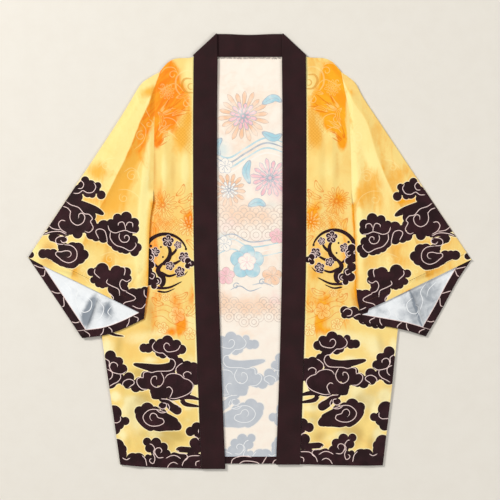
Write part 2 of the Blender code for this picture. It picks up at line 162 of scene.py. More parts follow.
# Creases and soft folds. Each follows a smooth line through a few places and is taller (ridge) or
# lower (trough) than the cloth beside it; left and right are its half widths on the two sides.
# A pressed crease is peaked, a fold round.
PRESSED, ROUND = 1, 1.7
CREASE_COLUMNS = ("shape", "height", "left", "right", "fade_start", "fade_end", "line")
FRONT_FOLDS = {
    "left": [
        (ROUND, 0.9, 7, 6, 0.3, 0.3, [-150, 250, -149, 60]),
        (ROUND, 0.6, 9, 8, 0.3, 0.3, [-114, 230, -114, 20]),
        (ROUND, -0.3, 6, 6, 0.35, 0.35, [-133, 240, -133, 70]),
        (ROUND, 3, 16, 12, 0.3, 0.06, [-244, -165, -230, -235, -207, -320, -192, -384]),
        (ROUND, 2.2, 17, 14, 0.3, 0.08, [-190, -140, -164, -270, -142, -384]),
        (ROUND, 1.6, 14, 10, 0.35, 0.2, [-120, -130, -112, -260, -104, -370]),
        (ROUND, -0.8, 9, 9, 0.3, 0.3, [-225, -165, -198, -250, -176, -345]),
    ],
    "right": [
        (ROUND, 1.1, 7, 5.5, 0.3, 0.3, [143, 245, 146, 60]),
        (ROUND, 0.7, 9, 7, 0.3, 0.3, [121, 225, 120, 0]),
        (ROUND, -0.4, 5, 5, 0.35, 0.35, [132, 235, 133, 80]),
        (ROUND, 2.8, 15, 12, 0.3, 0.06, [246, -175, 228, -260, 200, -380]),
        (ROUND, 2.2, 16, 13, 0.3, 0.08, [172, -150, 158, -270, 142, -378]),
        (ROUND, 1.5, 12, 12, 0.35, 0.25, [112, -140, 108, -250, 102, -350]),
    ],
}
SLEEVE_CREASES = {
    "left": [
        (PRESSED, 3.4, 30, 13, 0.12, 0.02, [-160, 304, -175.4, 260, -191, 226.6, -214.8, 167.1, -248.2,
            99.8, -287.6, 23.6, -311, -44]),
        (ROUND, 0.8, 9, 9, 0.25, 0.15, [-176, 200, -187, 100, -194, 0, -198, -90]),
        (ROUND, -0.5, 9, 9, 0.3, 0.2, [-176, 245, -200, 150, -224, 40, -240, -60]),
        (ROUND, 0.8, 12, 10, 0.3, 0.15, [-208, 225, -262, 120, -322, 10]),
        (PRESSED, -0.7, 3, 3, 0.3, 0.2, [-170, -8, -205, -58, -222, -92]),
    ],
    "right": [
        (PRESSED, 3.4, 26, 12, 0.12, 0.02, [162, 303, 182, 260, 204.3, 226.6, 220.4, 175, 242, 119, 268,
            68, 292, 10, 311, -46]),
        (ROUND, 1.4, 9, 7, 0.25, 0.15, [184, 190, 192, 90, 197, 0, 204, -80]),
        (ROUND, -1, 9, 9, 0.3, 0.2, [186, 240, 206, 140, 228, 30, 246, -60]),
        (ROUND, 1, 10, 8, 0.3, 0.15, [222, 225, 268, 140, 328, 20]),
    ],
}
CUFF_CREASES = {
    "left": [(PRESSED, 3.6, 12, 5, 0.2, 0.02, [-262, -72, -292, -150]),
             (ROUND, 1.4, 7, 7, 0.3, 0.2, [-236, -92, -262, -140]),
             (ROUND, 1.2, 8, 8, 0.3, 0.2, [-318, -52, -300, -120])],
    "right": [(PRESSED, 4.5, 22, 3, 0.15, 0.02, [278, -66, 294, -103, 307, -142]),
              (ROUND, 1.4, 8, 8, 0.3, 0.2, [240, -92, 262, -130]),
              (ROUND, 1.2, 8, 8, 0.3, 0.2, [330, -52, 322, -110])],
}
MOUTH_LIFT = {"left": 2.0, "right": 0.4}   # how far the upper cuff edge stands open
MOUTH_DEPTH = 75.0      # how far up the sleeve it starts to open


def smooth(low, high, value):
    """Ease from 0 at low to 1 at high."""
    share = np.clip((value - low) / (high - low), 0.0, 1.0)
    return share * share * (3.0 - 2.0 * share)


def eased(stations, values, at):
    """Read a smooth curve that never overshoots its stations, given in rising order."""
    x = np.asarray(stations, float)
    y = np.asarray(values, float)
    slope = np.diff(y) / np.diff(x)
    tangent = np.concatenate(([slope[0]], 0.5 * (slope[:-1] + slope[1:]), [slope[-1]]))
    turning = slope[:-1] * slope[1:] <= 0.0
    tangent[1:-1][turning] = 0.0
    limit = 3.0 * np.minimum(np.abs(slope[:-1]), np.abs(slope[1:]))
    tangent[1:-1] = np.clip(tangent[1:-1], -limit, limit)
    i = np.clip(np.searchsorted(x, at, side="right") - 1, 0, len(slope) - 1)
    width = x[i + 1] - x[i]
    t = (np.asarray(at, float) - x[i]) / width
    start = y[i] * (1 + 2 * t) * (1 - t) ** 2 + tangent[i] * width * t * (1 - t) ** 2
    end = y[i + 1] * t * t * (3 - 2 * t) + tangent[i + 1] * width * t * t * (t - 1)
    return start + end


def lengths(line):
    """How far along a line each of its places is."""
    return np.concatenate(([0.0], np.cumsum(np.linalg.norm(np.diff(line, axis=0), axis=1))))


def places_at(line, reach, wanted):
    """Places at distances along a line whose own places are at the distances in reach."""
    return np.stack([np.interp(wanted, reach, line[:, k]) for k in (0, 1)], -1)


def directions(line):
    """Unit directions along a line."""
    run = np.gradient(line, axis=0)
    return run / np.maximum(np.linalg.norm(run, axis=1), 1e-9)[:, None]


def to_left(run):
    """Directions turned a quarter to the left."""
    return np.stack((-run[:, 1], run[:, 0]), -1)


def soft(gap, width):
    """1 on a line, fading away within a few widths of it."""
    return np.exp(-(gap / width) ** 2)


def along(points, shares):
    """Places at the given shares of the length of a smooth curve through the points."""
    p = np.asarray(points, float)
    p = np.vstack((2 * p[0] - p[1], p, 2 * p[-1] - p[-2]))
    t = np.linspace(0.0, 1.0, 24, endpoint=False)[:, None]
    dense = []
    for a, b, c, d in zip(p[:-3], p[1:-2], p[2:-1], p[3:]):
        bend = 2 * b + (c - a) * t + (2 * a - 5 * b + 4 * c - d) * t ** 2
        dense.append(0.5 * (bend + (3 * b - a - 3 * c + d) * t ** 3))
    dense = np.vstack(dense + [p[-2:-1]])
    reach = lengths(dense)
    return places_at(dense, reach, np.asarray(shares, float) * reach[-1])


def curve(points, step=OUTLINE_STEP, share=1.0):
    """A smooth curve through the points, with places about one step apart."""
    points = np.reshape(points, (-1, 2))
    length = np.linalg.norm(np.diff(points, axis=0), axis=1).sum()
    return along(points, np.linspace(0.0, share, max(3, int(share * length / step) + 1)))


def join(*pieces):
    """One closed outline from curves that follow each other."""
    ring = [pieces[0][0]]
    for piece in pieces:
        for place in piece:
            if np.hypot(*(place - ring[-1])) > SAME_PLACE:
                ring.append(place)
    if np.hypot(*(ring[0] - ring[-1])) < SAME_PLACE:
        ring.pop()
    return np.array(ring)


def line_distance(line, x, y):
    """How far places are from a line, how far along it is nearest, and on which side they are.

    The side is 1 to the right of a line that runs down the photograph, and -1 to its left.
    """
    start = line[:-1]
    run = np.diff(line, axis=0)
    length = np.linalg.norm(run, axis=1)
    reach = np.concatenate(([0.0], np.cumsum(length)))
    best = np.full(np.shape(x), np.inf)
    share = np.zeros(np.shape(x))
    side = np.ones(np.shape(x))
    for k in range(len(run)):
        dx, dy = x - start[k, 0], y - start[k, 1]
        t = np.clip((dx * run[k, 0] + dy * run[k, 1]) / (length[k] ** 2), 0.0, 1.0)
        gap = np.hypot(dx - t * run[k, 0], dy - t * run[k, 1])
        near = gap < best
        best = np.where(near, gap, best)
        share = np.where(near, (reach[k] + t * length[k]) / reach[-1], share)
        side = np.where(near, np.sign(run[k, 0] * dy - run[k, 1] * dx), side)
    return best, share, side


def inside(ring, x, y):
    """Whether places are inside a closed outline."""
    found = np.zeros(np.shape(x), bool)
    for (ax, ay), (bx, by) in zip(ring, np.roll(ring, -1, axis=0)):
        if ay == by:
            continue
        crosses = ((ay > y) != (by > y)) & (x < ax + (y - ay) * (bx - ax) / (by - ay))
        found ^= crosses
    return found


def ring_gap(ring, x, y):
    """How far places are from a closed outline."""
    return line_distance(np.vstack((ring, ring[:1])), x, y)[0]


def creases(table, x, y):
    """Height that a table of creases adds at places."""
    total = np.zeros(np.shape(x))
    for row in table:
        crease = dict(zip(CREASE_COLUMNS, row))
        gap, share, side = line_distance(curve(crease["line"], GUIDE_STEP), x, y)
        taper = smooth(0.0, crease["fade_start"], share)
        taper = taper * smooth(0.0, crease["fade_end"], 1.0 - share)
        width = np.where(side > 0.0, crease["right"], crease["left"])
        total = total + crease["height"] * taper * np.exp(-(gap / width) ** crease["shape"])
    return total


def seam_dip(line, x, y):
    """How far cloth dips toward a seam along a line."""
    return SEAM_DIP * soft(line_distance(line, x, y)[0], SEAM_REACH)


def band_edge(side, y, inner=False):
    """Sideways place of the band's outer or inner edge at a height."""
    rows = np.array(list(BAND_MIDDLE[side].values()))
    half = -0.5 * BAND_WIDTH if inner else 0.5 * BAND_WIDTH
    return eased(rows[:, 0], rows[:, 1], y) + SIDES[side] * half


def body_row(side, station, share):
    """A row of places from the band's seam (share 0) to the outer edge (share 1)."""
    table = np.array(list(BODY[side].values()))
    places = np.arange(len(table))
    row = {name: eased(places, table[:, k], station) for k, name in enumerate(BODY_COLUMNS)}
    seam_x = band_edge(side, row["seam_y"]) + SIDES[side] * SEAM_GAP
    arch = row["bow"] * np.sin(np.pi * share ** BOW_SKEW)
    x = seam_x + (row["edge_x"] - seam_x) * share
    y = row["seam_y"] + (row["edge_y"] - row["seam_y"]) * share + arch
    return np.stack((x, y), -1)


def body_edge(side, first, last, steps, share=1.0):
    """A line down the body between two named stations, at a share of its width."""
    names = list(BODY[side])
    stations = np.linspace(names.index(first), names.index(last), steps)
    return body_row(side, stations, share)


LOWER_BODY = {side: np.vstack((body_edge(side, "underarm", "hem", 50), [(0.0, BACK_HEM)],
                               [(0.0, BODY["left"]["underarm"][2])])) for side in SIDES}
ARMHOLE = {side: body_edge(side, "shoulder", "underarm", 40) for side in SIDES}


def sleeve_ground(side, x, y):
    """Height of what a sleeve lies on: the body, or the ground outside it.

    Beside the armhole the sleeve is sewn to the front, so it stays down there.
    """
    ring = LOWER_BODY[side]
    gap = np.where(inside(ring, x, y), 0.0, ring_gap(ring, x, y))
    sewn = 1.0 - smooth(0.0, SEWN_REACH, line_distance(ARMHOLE[side], x, y)[0])
    level = SLEEVE_LEVEL * (1.0 - smooth(SHELF, SHELF + RISE, gap))
    return level * (1.0 - sewn * smooth(0.0, SEWN_EASE, gap))


# Printed motifs

DARK, CREAM, EDGE = "cloud", "line", "edge"
LINE = 0.62             # half width of the fine printed lines
HALO = 1.35             # pale outline round a dark shape
TIP = 0.12              # width of a tapered end, as a share of its line's
ARC_STEP = 2.2          # spacing of the places round a disc
CURL_END = 0.22         # radius at the end of a curl, as a share of its first radius
CLOUD_TIPS = {"bar": (0.18, 0.18), "wisp": (0.0, 0.95)}


class Print:
    """Closed shapes in painting order, each with the name of its colour.

    Tables give the left half of the print, each line as x, y, x, y. The right half is the same,
    mirrored and shifted by a few pixels of the photograph.
    """

    def __init__(self, mirror=False, shift=(0.0, 0.0)):
        self.shapes = []
        self.mirror = mirror
        self.hand = -1.0 if mirror else 1.0
        self.shift = np.array(shift) * (PIXEL, -PIXEL) if mirror else np.zeros(2)

    def place(self, points):
        """Millimetres in the frame for pixels of the photograph."""
        px, py = np.reshape(points, (-1, 2)).T
        line = np.stack(((px - PIXEL_CENTRE[0]) * PIXEL, (PIXEL_CENTRE[1] - py) * PIXEL), -1)
        return line * (self.hand, 1.0) + self.shift

    def fill(self, ring, colour):
        self.shapes.append((np.asarray(ring, float), colour))

    def disc(self, centre, radius, colour):
        count = int(np.clip(2.0 * np.pi * radius / ARC_STEP, 10, 48))
        a = np.linspace(0.0, 2.0 * np.pi, count, endpoint=False)
        self.fill(np.stack((centre[0] + radius * np.cos(a), centre[1] + radius * np.sin(a)), -1), colour)

    def ribbon(self, line, half_width, colour, tips, grow=0.0):
        """A drawn line with tapered ends; grow widens it evenly, for a halo."""
        line = np.array(line, float)
        run = directions(line)
        t = np.linspace(0.0, 1.0, len(line))
        taper = np.ones_like(t)
        for tip, gap in zip(tips, (t, 1.0 - t)):
            if tip > 0.0:
                taper = taper * (TIP + (1.0 - TIP) * np.sqrt(np.clip(gap / tip, 0.0, 1.0)))
        line[0] -= run[0] * grow
        line[-1] += run[-1] * grow
        across = to_left(run) * (half_width * taper + grow)[:, None]
        self.fill(np.vstack((line + across, (line - across)[::-1])), colour)

    def stroke(self, points, half_width, colour, tips, step=OUTLINE_STEP, grow=0.0):
        """A ribbon along a smooth line through pixels of the photograph."""
        self.ribbon(curve(self.place(points), step), half_width, colour, tips, grow)


def spiral(centre, radius, turns, start, hand):
    """Places along a curl that winds inwards from its start angle in degrees."""
    t = np.linspace(0.0, 1.0, max(12, int(turns * 26)))
    a = np.radians(start) + hand * 2.0 * np.pi * turns * t
    r = radius * (1.0 - (1.0 - CURL_END) * t ** 0.85)
    return np.stack((centre[0] + r * np.cos(a), centre[1] + r * np.sin(a)), -1)


# Swirl clouds. Places and sizes are pixels of the photograph. Discs are rounds (x, y, radius) that
# make one dark shape, a bar a thick line with round ends, a wisp a tapering tail, each with its
# width first, and a line a fine pale one.

def draw_clouds(art, rows):
    """Draw a table of cloud parts as one dark shape with a pale edge, and its pale lines."""
    for grow, colour in ((HALO, EDGE), (0.0, DARK)):
        for kind, *values in rows:
            if kind == "discs":
                for x, y, radius in np.reshape(values[0], (-1, 3)):
                    art.disc(art.place((x, y))[0], radius * PIXEL + grow, colour)
            elif kind in CLOUD_TIPS:
                width, places = values
                art.stroke(places, 0.5 * width * PIXEL, colour, CLOUD_TIPS[kind], grow=grow)
    for kind, *values in rows:
        if kind == "line":
            art.stroke(values[0], LINE, CREAM, (0.06, 0.1), FINE_STEP)


FRONT_CLOUDS = [
    # below the medallion, with its stem and tail
    ("discs", [144, 347.8, 4.5, 148.5, 348, 4.7, 152.5, 342.2, 3.6, 156.5, 347, 5.5, 161, 344, 5.5,
        167.5, 341, 5.8, 166, 348, 7.5, 173, 347, 7, 176.5, 344.5, 5, 181.6, 349.3, 4.8, 177, 351.5, 4,
        171.5, 353.5, 4, 163, 354, 4.5, 159, 353, 3.6]),
    ("wisp", 11, [176, 360, 172, 366.5, 160, 368.5, 146, 366.5, 133.5, 364]),
    ("bar", 8, [168, 352, 175, 359, 174, 366]),
    ("line", [180.6, 344.6, 177.3, 350, 168.7, 351.8, 164.9, 349.4, 163.9, 345.6, 166, 343, 168.7,
        343.7, 170, 346]),
    ("line", [155.3, 341.3, 152.4, 346, 154.3, 350.4, 159, 352.8, 163, 353, 166, 355.6, 169.6, 358.5,
        173.5, 359.5, 175.4, 364.2, 171.6, 370, 162, 371.4]),
    # beside the band, high
    ("discs", [179.5, 361.5, 4, 183, 364, 3, 187, 366, 5.5, 181.5, 369.5, 5.5, 193.5, 367.5, 5.5, 189,
        373, 8, 197, 374, 7, 196, 381, 4]),
    ("line", [176.3, 371.9, 176.3, 368, 180.2, 364.2, 183, 362.8]),
    ("line", [184.5, 377.6, 183.5, 373.8, 186.9, 371.4, 190.7, 372.8, 191.2, 374.5]),
    # great cloud, its left and right parts
    ("discs", [140, 382.5, 5.6, 145.7, 375.5, 4.6, 152.4, 373.8, 5, 157.5, 378.5, 7.2, 148, 381, 7, 152,
        384, 6, 145, 385, 5, 154, 391, 4, 160, 392, 6, 165, 383, 6, 164, 374, 6, 170, 373, 5.5, 171,
        381, 6.5, 178, 381, 8, 184, 383, 7, 189, 384.5, 5.4, 185.5, 391.5, 5.2, 178.5, 389, 9, 171, 392,
        6.5, 167, 388, 6, 165.5, 395, 3.5]),
    ("bar", 9.5, [151, 393.5, 157, 394.5, 165, 393.5]),
    ("bar", 8, [166, 396.5, 176, 396, 186, 392.5, 191, 387]),
    ("line", [161, 372, 163.9, 378.6, 162, 384.3, 157.2, 387.2, 152.4, 384.8, 151, 380.5, 152.9, 376.7,
        156.5, 376.2, 156.6, 379.8]),
    ("line", [148.1, 389.1, 141.9, 388.6, 137.6, 384.3, 137.1, 379.5, 140.5, 377.2, 143.2, 377.6, 143.8,
        372.8, 147.6, 371.4, 152.4, 372.4, 157, 371.2, 170.6, 370.5, 175, 366]),
    ("line", [164.9, 378.6, 167.7, 374.8, 173.5, 373.3, 180.2, 374.8, 184, 378.1, 188.8, 379.8, 193.1,
        384.3, 192.1, 390.1, 187.8, 393.9, 181.1, 396.8, 174.4, 398.5, 168.7, 397.7]),
    ("line", [166.3, 387.7, 169.6, 386.7, 172.5, 390.1, 171.6, 393.9, 169.6, 397.7]),
    ("bar", 5, [180, 400, 184, 397, 190, 396.5]),
    ("wisp", 5, [187, 396.5, 193, 397.5, 200, 399.5]),
    ("wisp", 5, [182, 400, 186, 404, 200, 406.5]),
    # side seam cloud and its chain
    ("discs", [110.5, 355.8, 5.6, 118.8, 361.5, 4.6, 122.5, 369, 5, 113, 366, 10, 108, 374, 8, 114, 378,
        7, 110.5, 382, 6.5, 119, 378, 5.5, 129, 377.5, 5.4, 124.5, 380.5, 5, 128, 384.5, 4.2, 133, 384,
        4.5, 136, 387, 5.2, 142, 387, 4, 139, 383, 4]),
    ("line", [109.8, 367.1, 110.8, 363.3, 114.1, 362.1, 117.5, 364.2, 117.5, 366.9]),
    ("line", [105.5, 358.5, 109.4, 361.4, 109.4, 366.1, 111.7, 371, 115.1, 372.8, 121.8, 373.8, 126.6,
        371]),
    ("line", [107.4, 369, 112.2, 371.9, 112.2, 376.7, 109.4, 379.5]),
    ("line", [120.4, 373.8, 120.8, 377.6, 118, 381.5, 114.1, 383.4, 109.4, 386.2]),
    ("line", [122.3, 386.2, 123.7, 381.5, 128.5, 379.1, 133.3, 380.5, 134.2, 383.4, 130.4, 386.2, 128.5,
        388.2]),
    # flat curl cloud
    ("wisp", 9, [178, 410.5, 172, 407, 166, 401.5, 159, 399]),
    ("line", [161, 398.6, 168, 399.4, 175, 402.6, 180.5, 407.5]),
    ("bar", 9, [138.5, 411, 141, 418, 147, 424.5, 153, 427]),
    ("bar", 8, [149, 424, 158, 427, 168, 426.5, 178, 427]),
    ("bar", 10, [160, 415, 170, 420, 178, 424.5]),
    ("discs", [177.5, 410.3, 4.3, 162.5, 405.8, 3.8, 139.5, 411, 5, 142, 415, 6.5, 147.5, 409, 6.8, 155,
        411.5, 5.5, 148, 419, 8, 155, 422, 8, 150.5, 426, 5, 160, 427.5, 3.8, 163, 421, 6.5, 169, 424,
        6, 176, 425.5, 5, 178, 426.5, 3.8, 163, 413, 4, 160, 415.5, 3.5]),
    ("line", [165.8, 412.1, 156.2, 409.2, 148.6, 410.2, 143.3, 415.9, 144.8, 421.7, 150.5, 425.5, 158.2,
        425.5, 163.9, 422.6, 162.9, 418.8, 158.2, 417.3, 156.2, 414, 152.4, 413, 150, 415.9, 150.5,
        418.8, 152.4, 420.7]),
    ("line", [158.5, 406, 162, 408.8, 166, 407.3, 166.3, 403.5, 162.5, 402.6]),
    ("line", [167.5, 403, 169.6, 407.5, 167, 411.5, 161, 412.5, 156.2, 409.2]),
    # side seam and band, lower
    ("discs", [114, 413, 8, 112, 420, 7, 125.6, 420.7, 4.2, 119, 424, 5.5, 115, 429, 5.5, 121, 419, 3,
        190.5, 431.2, 4.8, 197, 427.5, 5.5, 199, 433, 5, 195, 443, 5.5, 200, 444, 6]),
    ("line", [109.5, 422, 113.7, 422.5, 118, 422.4, 120.8, 419.7, 120.4, 415.9]),
    ("line", [192, 435, 197, 437.5, 199, 440]),
    ("line", [198.5, 429, 198.5, 433]),
    # hem
    ("discs", [117, 446, 7.5, 119, 454, 8, 118, 462, 8, 122, 449, 5, 133, 459.5, 7, 138.5, 459.5, 7,
        143, 463, 4.5, 127, 462, 5, 147.2, 441.5, 4.2, 149.5, 448, 4.4, 156.2, 442.5, 5.2, 163.4, 446.8,
        4.6, 166, 454, 5, 158, 450.5, 7.5, 152.5, 459.5, 5, 161, 458, 6, 148, 457, 3, 175, 460, 7, 190,
        461, 8, 183, 458, 5, 197, 460, 7, 147, 461, 4, 167, 461, 4.5, 191, 453.5, 3.5]),
    ("bar", 9, [118, 463, 160, 466, 203, 468]),
    ("bar", 9, [112, 470, 160, 472, 203, 474]),
    ("bar", 6, [176, 449, 186, 449.5, 201, 451]),
    ("bar", 5, [171, 453.5, 179, 456, 186, 459]),
    ("line", [122.3, 457.5, 126.6, 459.5, 130.4, 457.5]),
    ("line", [142, 455, 145.5, 459, 147, 466]),
    ("line", [149.5, 443.7, 152.4, 444.6, 154.8, 448.4, 153.5, 452, 156.7, 455.5]),
    ("line", [163.9, 457, 158.2, 457.3, 154.8, 452, 156.2, 448.3, 160.1, 447.6, 162, 450.4, 160.6,
        452.8]),
    ("line", [152.9, 453, 155, 458, 153.4, 463.3, 150, 461.5, 150, 459, 152, 458.4]),
    ("line", [166, 458, 171, 455.5, 176, 455.5, 181, 458.5]),
    ("line", [167, 468, 170, 463.5, 174, 462, 178, 464]),
    ("line", [177.5, 449.5, 180, 453, 186, 454, 187.5, 458, 184, 461]),
    ("line", [182, 466, 184, 461, 190, 456, 200, 455.5]),
    ("line", [196, 466, 196, 462, 200, 460.5]),
]
# What only one side shows of the print beside its cuff
FRONT_EXTRA = {
    "left": [("wisp", 3.5, [105, 330, 114, 334.5, 124, 336.2])],
    "right": [("discs", [151, 317, 5.5, 146, 316, 5.5, 155, 314.5, 4.5, 142, 319, 5, 136, 323, 5.5,
                         130, 326, 5, 124, 328, 4.5, 118, 329, 4, 155, 319, 3.5]),
              ("line", [157, 316, 153, 312.6, 148, 314.4, 148.5, 319, 153, 320]),
              ("line", [146, 320.5, 140, 318, 134, 321, 130, 327]),
              ("line", [137, 327, 132, 324, 126, 325.5, 122, 330])],
}

SLEEVE_CLOUDS = [
    # along the outer fold, high
    ("discs", [85.3, 180.5, 4.2, 90.7, 185.5, 5.4, 84, 187, 6.5, 79.5, 190, 5.5, 88, 192.5, 5, 92.5,
        194.5, 3.6, 98, 185.8, 3.7, 96, 190, 4, 101.5, 195, 4.5, 76, 193, 5, 90, 190, 5]),
    ("line", [77.5, 181.5, 81.5, 181, 84, 184.5, 82, 188.3, 78, 188.5]),
    ("line", [73.4, 193.3, 78.8, 193.3, 83.1, 190.6, 87.5, 192.8, 92.9, 192.2, 96.1, 187.3, 94, 182.5]),
    # great cloud on the outer fold, with its tails
    ("bar", 14, [80, 191, 73, 200, 66, 208]),
    ("wisp", 12, [70, 203, 84, 206.5, 96, 210, 104, 214.5]),
    ("bar", 14, [66, 203, 56, 216, 46, 230]),
    ("discs", [91, 216, 5.4, 91.5, 223.5, 5.4, 88.5, 230.5, 4, 78, 233.5, 5.2, 84, 214, 8, 83, 224, 9,
        73, 216, 12, 62, 217, 10, 70, 226, 9, 56, 221, 8, 64, 208, 9, 60, 226, 6, 52, 222, 6]),
    ("wisp", 5, [62, 230, 52, 231.5, 42, 235]),
    ("wisp", 6, [50, 229, 58, 232, 69, 235.5]),
    ("line", [71, 210.5, 70.2, 217.5, 72.5, 222.5, 78, 225.3, 83.5, 222.5, 85.2, 217, 82.5, 213.3, 79.2,
        214.5, 79, 218.5]),
    ("line", [63.1, 206.3, 67.9, 208.2, 71.3, 212.3]),
    ("line", [66.3, 201.4, 71.2, 204.9, 78.8, 207.6, 84.2, 213.4, 89.6, 214.6, 92.9, 218.8, 90.9, 221.5,
        93.6, 228, 89.5, 232.4, 85, 231]),
    ("line", [65.8, 221, 61.4, 220.4, 58.7, 224.2, 61.4, 229.6, 66.9, 232.9]),
    ("line", [47.9, 224.7, 52.8, 228.5, 58.2, 229.6, 61, 229.8]),
    ("line", [44, 234.5, 51, 232, 60, 231.5, 67, 234.5]),
    # link and crowned cloud
    ("discs", [91.5, 234.5, 5, 96.5, 237, 4.5, 97, 228, 4.5, 104, 226, 6, 108.5, 229.5, 4.5, 103.7, 238,
        5, 105.5, 232, 5, 99, 233, 5]),
    ("line", [99.4, 239, 96.1, 231.8, 99.4, 229, 104.8, 230.7, 107, 237.2, 107.7, 243]),
    ("discs", [111.3, 223.4, 4.4, 117.8, 218.2, 4.6, 126.5, 217.2, 5.6, 134.4, 222.8, 5, 134.5, 228.6,
        5, 122, 225.5, 8.5, 112.5, 229, 5, 129, 226, 7, 112, 234, 4.5, 113.5, 240.5, 6.5, 120, 242.5, 8,
        128, 241.5, 7, 133.5, 240.5, 5, 117, 245.5, 5.5, 126, 248.5, 5.5, 134.8, 251.8, 4.6, 137.5,
        247.5, 4.6, 132.5, 247, 4, 121, 249.5, 3.5, 119, 235, 8, 127, 234, 6]),
    ("line", [118.4, 225.8, 118.9, 223.1, 123.2, 222, 125.4, 226.4, 125.9, 230.4]),
    ("line", [133, 227.2, 132.6, 223.1, 128.3, 222.4, 126, 226.4]),
    ("line", [108.1, 225.3, 110.2, 230.7, 115.6, 232.9, 121.1, 231.3, 125.9, 230.4, 130.8, 232.3, 136.6,
        233]),
    ("line", [120, 233, 119.3, 237.5, 122, 241.7, 127, 242, 129.6, 238.5, 127.8, 235.3, 124.8, 236.2,
        125, 238.8]),
    ("line", [110.8, 231.8, 110.6, 238.3, 115.6, 244.8, 123.2, 247.5, 130.8, 250.8, 136.2, 245.9, 135.4,
        242.6]),
    # flat cloud with its curl
    ("bar", 8.5, [48.5, 237, 54, 237.5, 61, 240.5]),
    ("bar", 8.5, [42, 253.5, 52, 255.5, 60, 260.5, 72, 264, 82, 257]),
    ("discs", [64, 239.5, 3.8, 43.2, 253.7, 4.8, 48, 253.5, 4.6, 53.5, 254, 5.2, 73, 248.5, 6.5, 78.5,
        248.5, 6, 84, 254.8, 5.2, 80, 258, 6, 72.5, 262, 6.5, 63, 260.5, 6, 57, 258, 5, 64, 253, 6, 70,
        255, 8, 62, 247, 4, 60, 243, 3, 66, 246, 3]),
    ("line", [64, 244.5, 72.3, 245.9, 77.2, 251.3, 76.6, 258.9, 70.1, 262.7, 63.6, 261.1, 59.3, 257.8,
        56, 254.6, 57.1, 251.8, 61.4, 251.8, 65.8, 250.8, 70.1, 251.3, 71.7, 254, 70.1, 256.7, 67.4,
        257.3]),
    ("line", [64, 244.5, 57, 243.5, 56, 239.4, 59.3, 236.7, 64.7, 236.3]),
    ("line", [60.7, 240, 63, 242.6, 67, 241.5, 67.5, 238.5, 65, 237]),
    # above the cuff
    ("discs", [91.8, 272, 4.2, 97.5, 271, 4.2, 102.5, 269.4, 6.6, 99, 275, 6, 106, 277, 8, 116.8, 271.6,
        6.2, 121, 273, 6, 126.6, 272, 4.8, 127.8, 278.5, 4.2, 114.5, 281.5, 8, 122.5, 283, 6, 106, 283,
        4.5, 113.5, 289, 5.5, 116.7, 295.5, 5, 118, 301, 5, 121, 291, 4, 125, 289, 4, 94, 280, 3.5, 99,
        283.5, 3.8, 103, 285, 3.4]),
    ("line", [95.6, 268.7, 95, 273, 100.5, 278.4]),
    ("line", [108.1, 279, 107, 282.7, 112.4, 286, 118.9, 289.3, 120, 295.8]),
    ("line", [123.2, 265.4, 125.4, 269.7, 124.3, 275.7]),
    ("line", [131, 279, 127, 281.5, 122.5, 279.5, 120, 283.8, 122.1, 289.3, 127.6, 291.4]),
    ("line", [109.1, 292.5, 113.5, 296.8, 113.5, 300.1]),
    # inner end of the cuff, and the outer corner
    ("discs", [127, 294, 5, 133, 294.5, 6.5, 140, 294.5, 6.5, 145, 291, 4.5, 146, 297, 7, 138, 303, 9,
        128, 303, 8, 148, 305, 8, 122, 299, 5, 142, 312, 8, 134, 309, 8, 148, 290, 3, 31, 254.8, 3.4]),
    ("line", [126, 291.6, 135.2, 296.8, 134, 300, 125.4, 302.3, 123.2, 305]),
    ("line", [144.4, 289.3, 144.6, 294.7, 148, 298.5]),
    ("line", [132.4, 305.5, 138.4, 308.2, 142.7, 307.7, 147, 302]),
]

LINING_CURLS = [
    [86, 296, 92, 302, 90, 310, 83, 312, 80, 306, 84, 303],
    [98, 300, 104, 308, 100, 318, 92, 320],
    [112, 306, 108, 312, 112, 317],
    [62, 280, 70, 288, 72, 296],
    [70, 278, 78, 290, 76, 300, 82, 316],
]
# Dark cloth over the inner corner of the right cuff's opening
CUFF_CORNER = np.array([(178.9, -95.0), (208.5, -100.5), (206.0, -108.0), (178.9, -116.0)])
# Painted shade on the cuff linings along and beside their creases, with painted light where the strength
# is below zero: soft ovals (x, y, wide, high, turn, strength) in pixels
LINING_SHADE = {
    "left": [(92, 304, 4.5, 13, 22, 1.0), (87, 318, 6, 11, 14, 1.05), (108, 309, 5, 8, 0, 0.7),
             (108, 312, 15, 12, 0, 0.28), (78, 293, 3, 9, -25, 0.3), (69, 285, 3, 4, 0, 0.15)],
    "right": [(412, 302, 60, 40, 0, 0.45), (415.6, 309, 1.0, 22, -18.6, 0.7),
              (394, 306, 8, 9, 0, -0.35), (413, 317, 4, 9, -20, 0.25),
              (416, 294, 5, 7, 0, 0.2), (430, 296, 9, 16, 20, 0.25), (376, 309, 9, 4, 0, 0.2)],
}
# Pale lines across the turned hem of a cuff: shares of its length at the edge and at the top
CUFF_VEINS = {"cuff_tip": [(0.10, 0.19), (0.24, 0.2), (0.42, 0.50), (0.62, 0.55), (0.80, 0.86)],
              "cuff_under": [(0.12, 0.06), (0.30, 0.36), (0.48, 0.43), (0.72, 0.78), (0.90, 0.86)]}
HEM_OVERRUN = 30.0      # how far a turned hem is drawn beyond the ends of its edge


# Cloth sheets

def grid_points(outline, busy):
    """Staggered points inside an outline, close together where busy(x, y) says so."""
    low, high = outline.min(0), outline.max(0)
    found = []
    for step, wanted in ((GRID, True), (PLAIN_GRID, False)):
        rows = np.arange(low[1] + 0.5 * step, high[1], 0.87 * step)
        for k, y in enumerate(rows):
            x = np.arange(low[0] + (0.25 + 0.5 * (k % 2)) * step, high[0], step)
            y = np.full_like(x, y)
            keep = busy(x, y) == wanted
            found.append(np.stack((x[keep], y[keep]), -1))
    points = np.vstack(found)
    return points[inside(outline, *points.T) & (ring_gap(outline, *points.T) > CLEARANCE)]


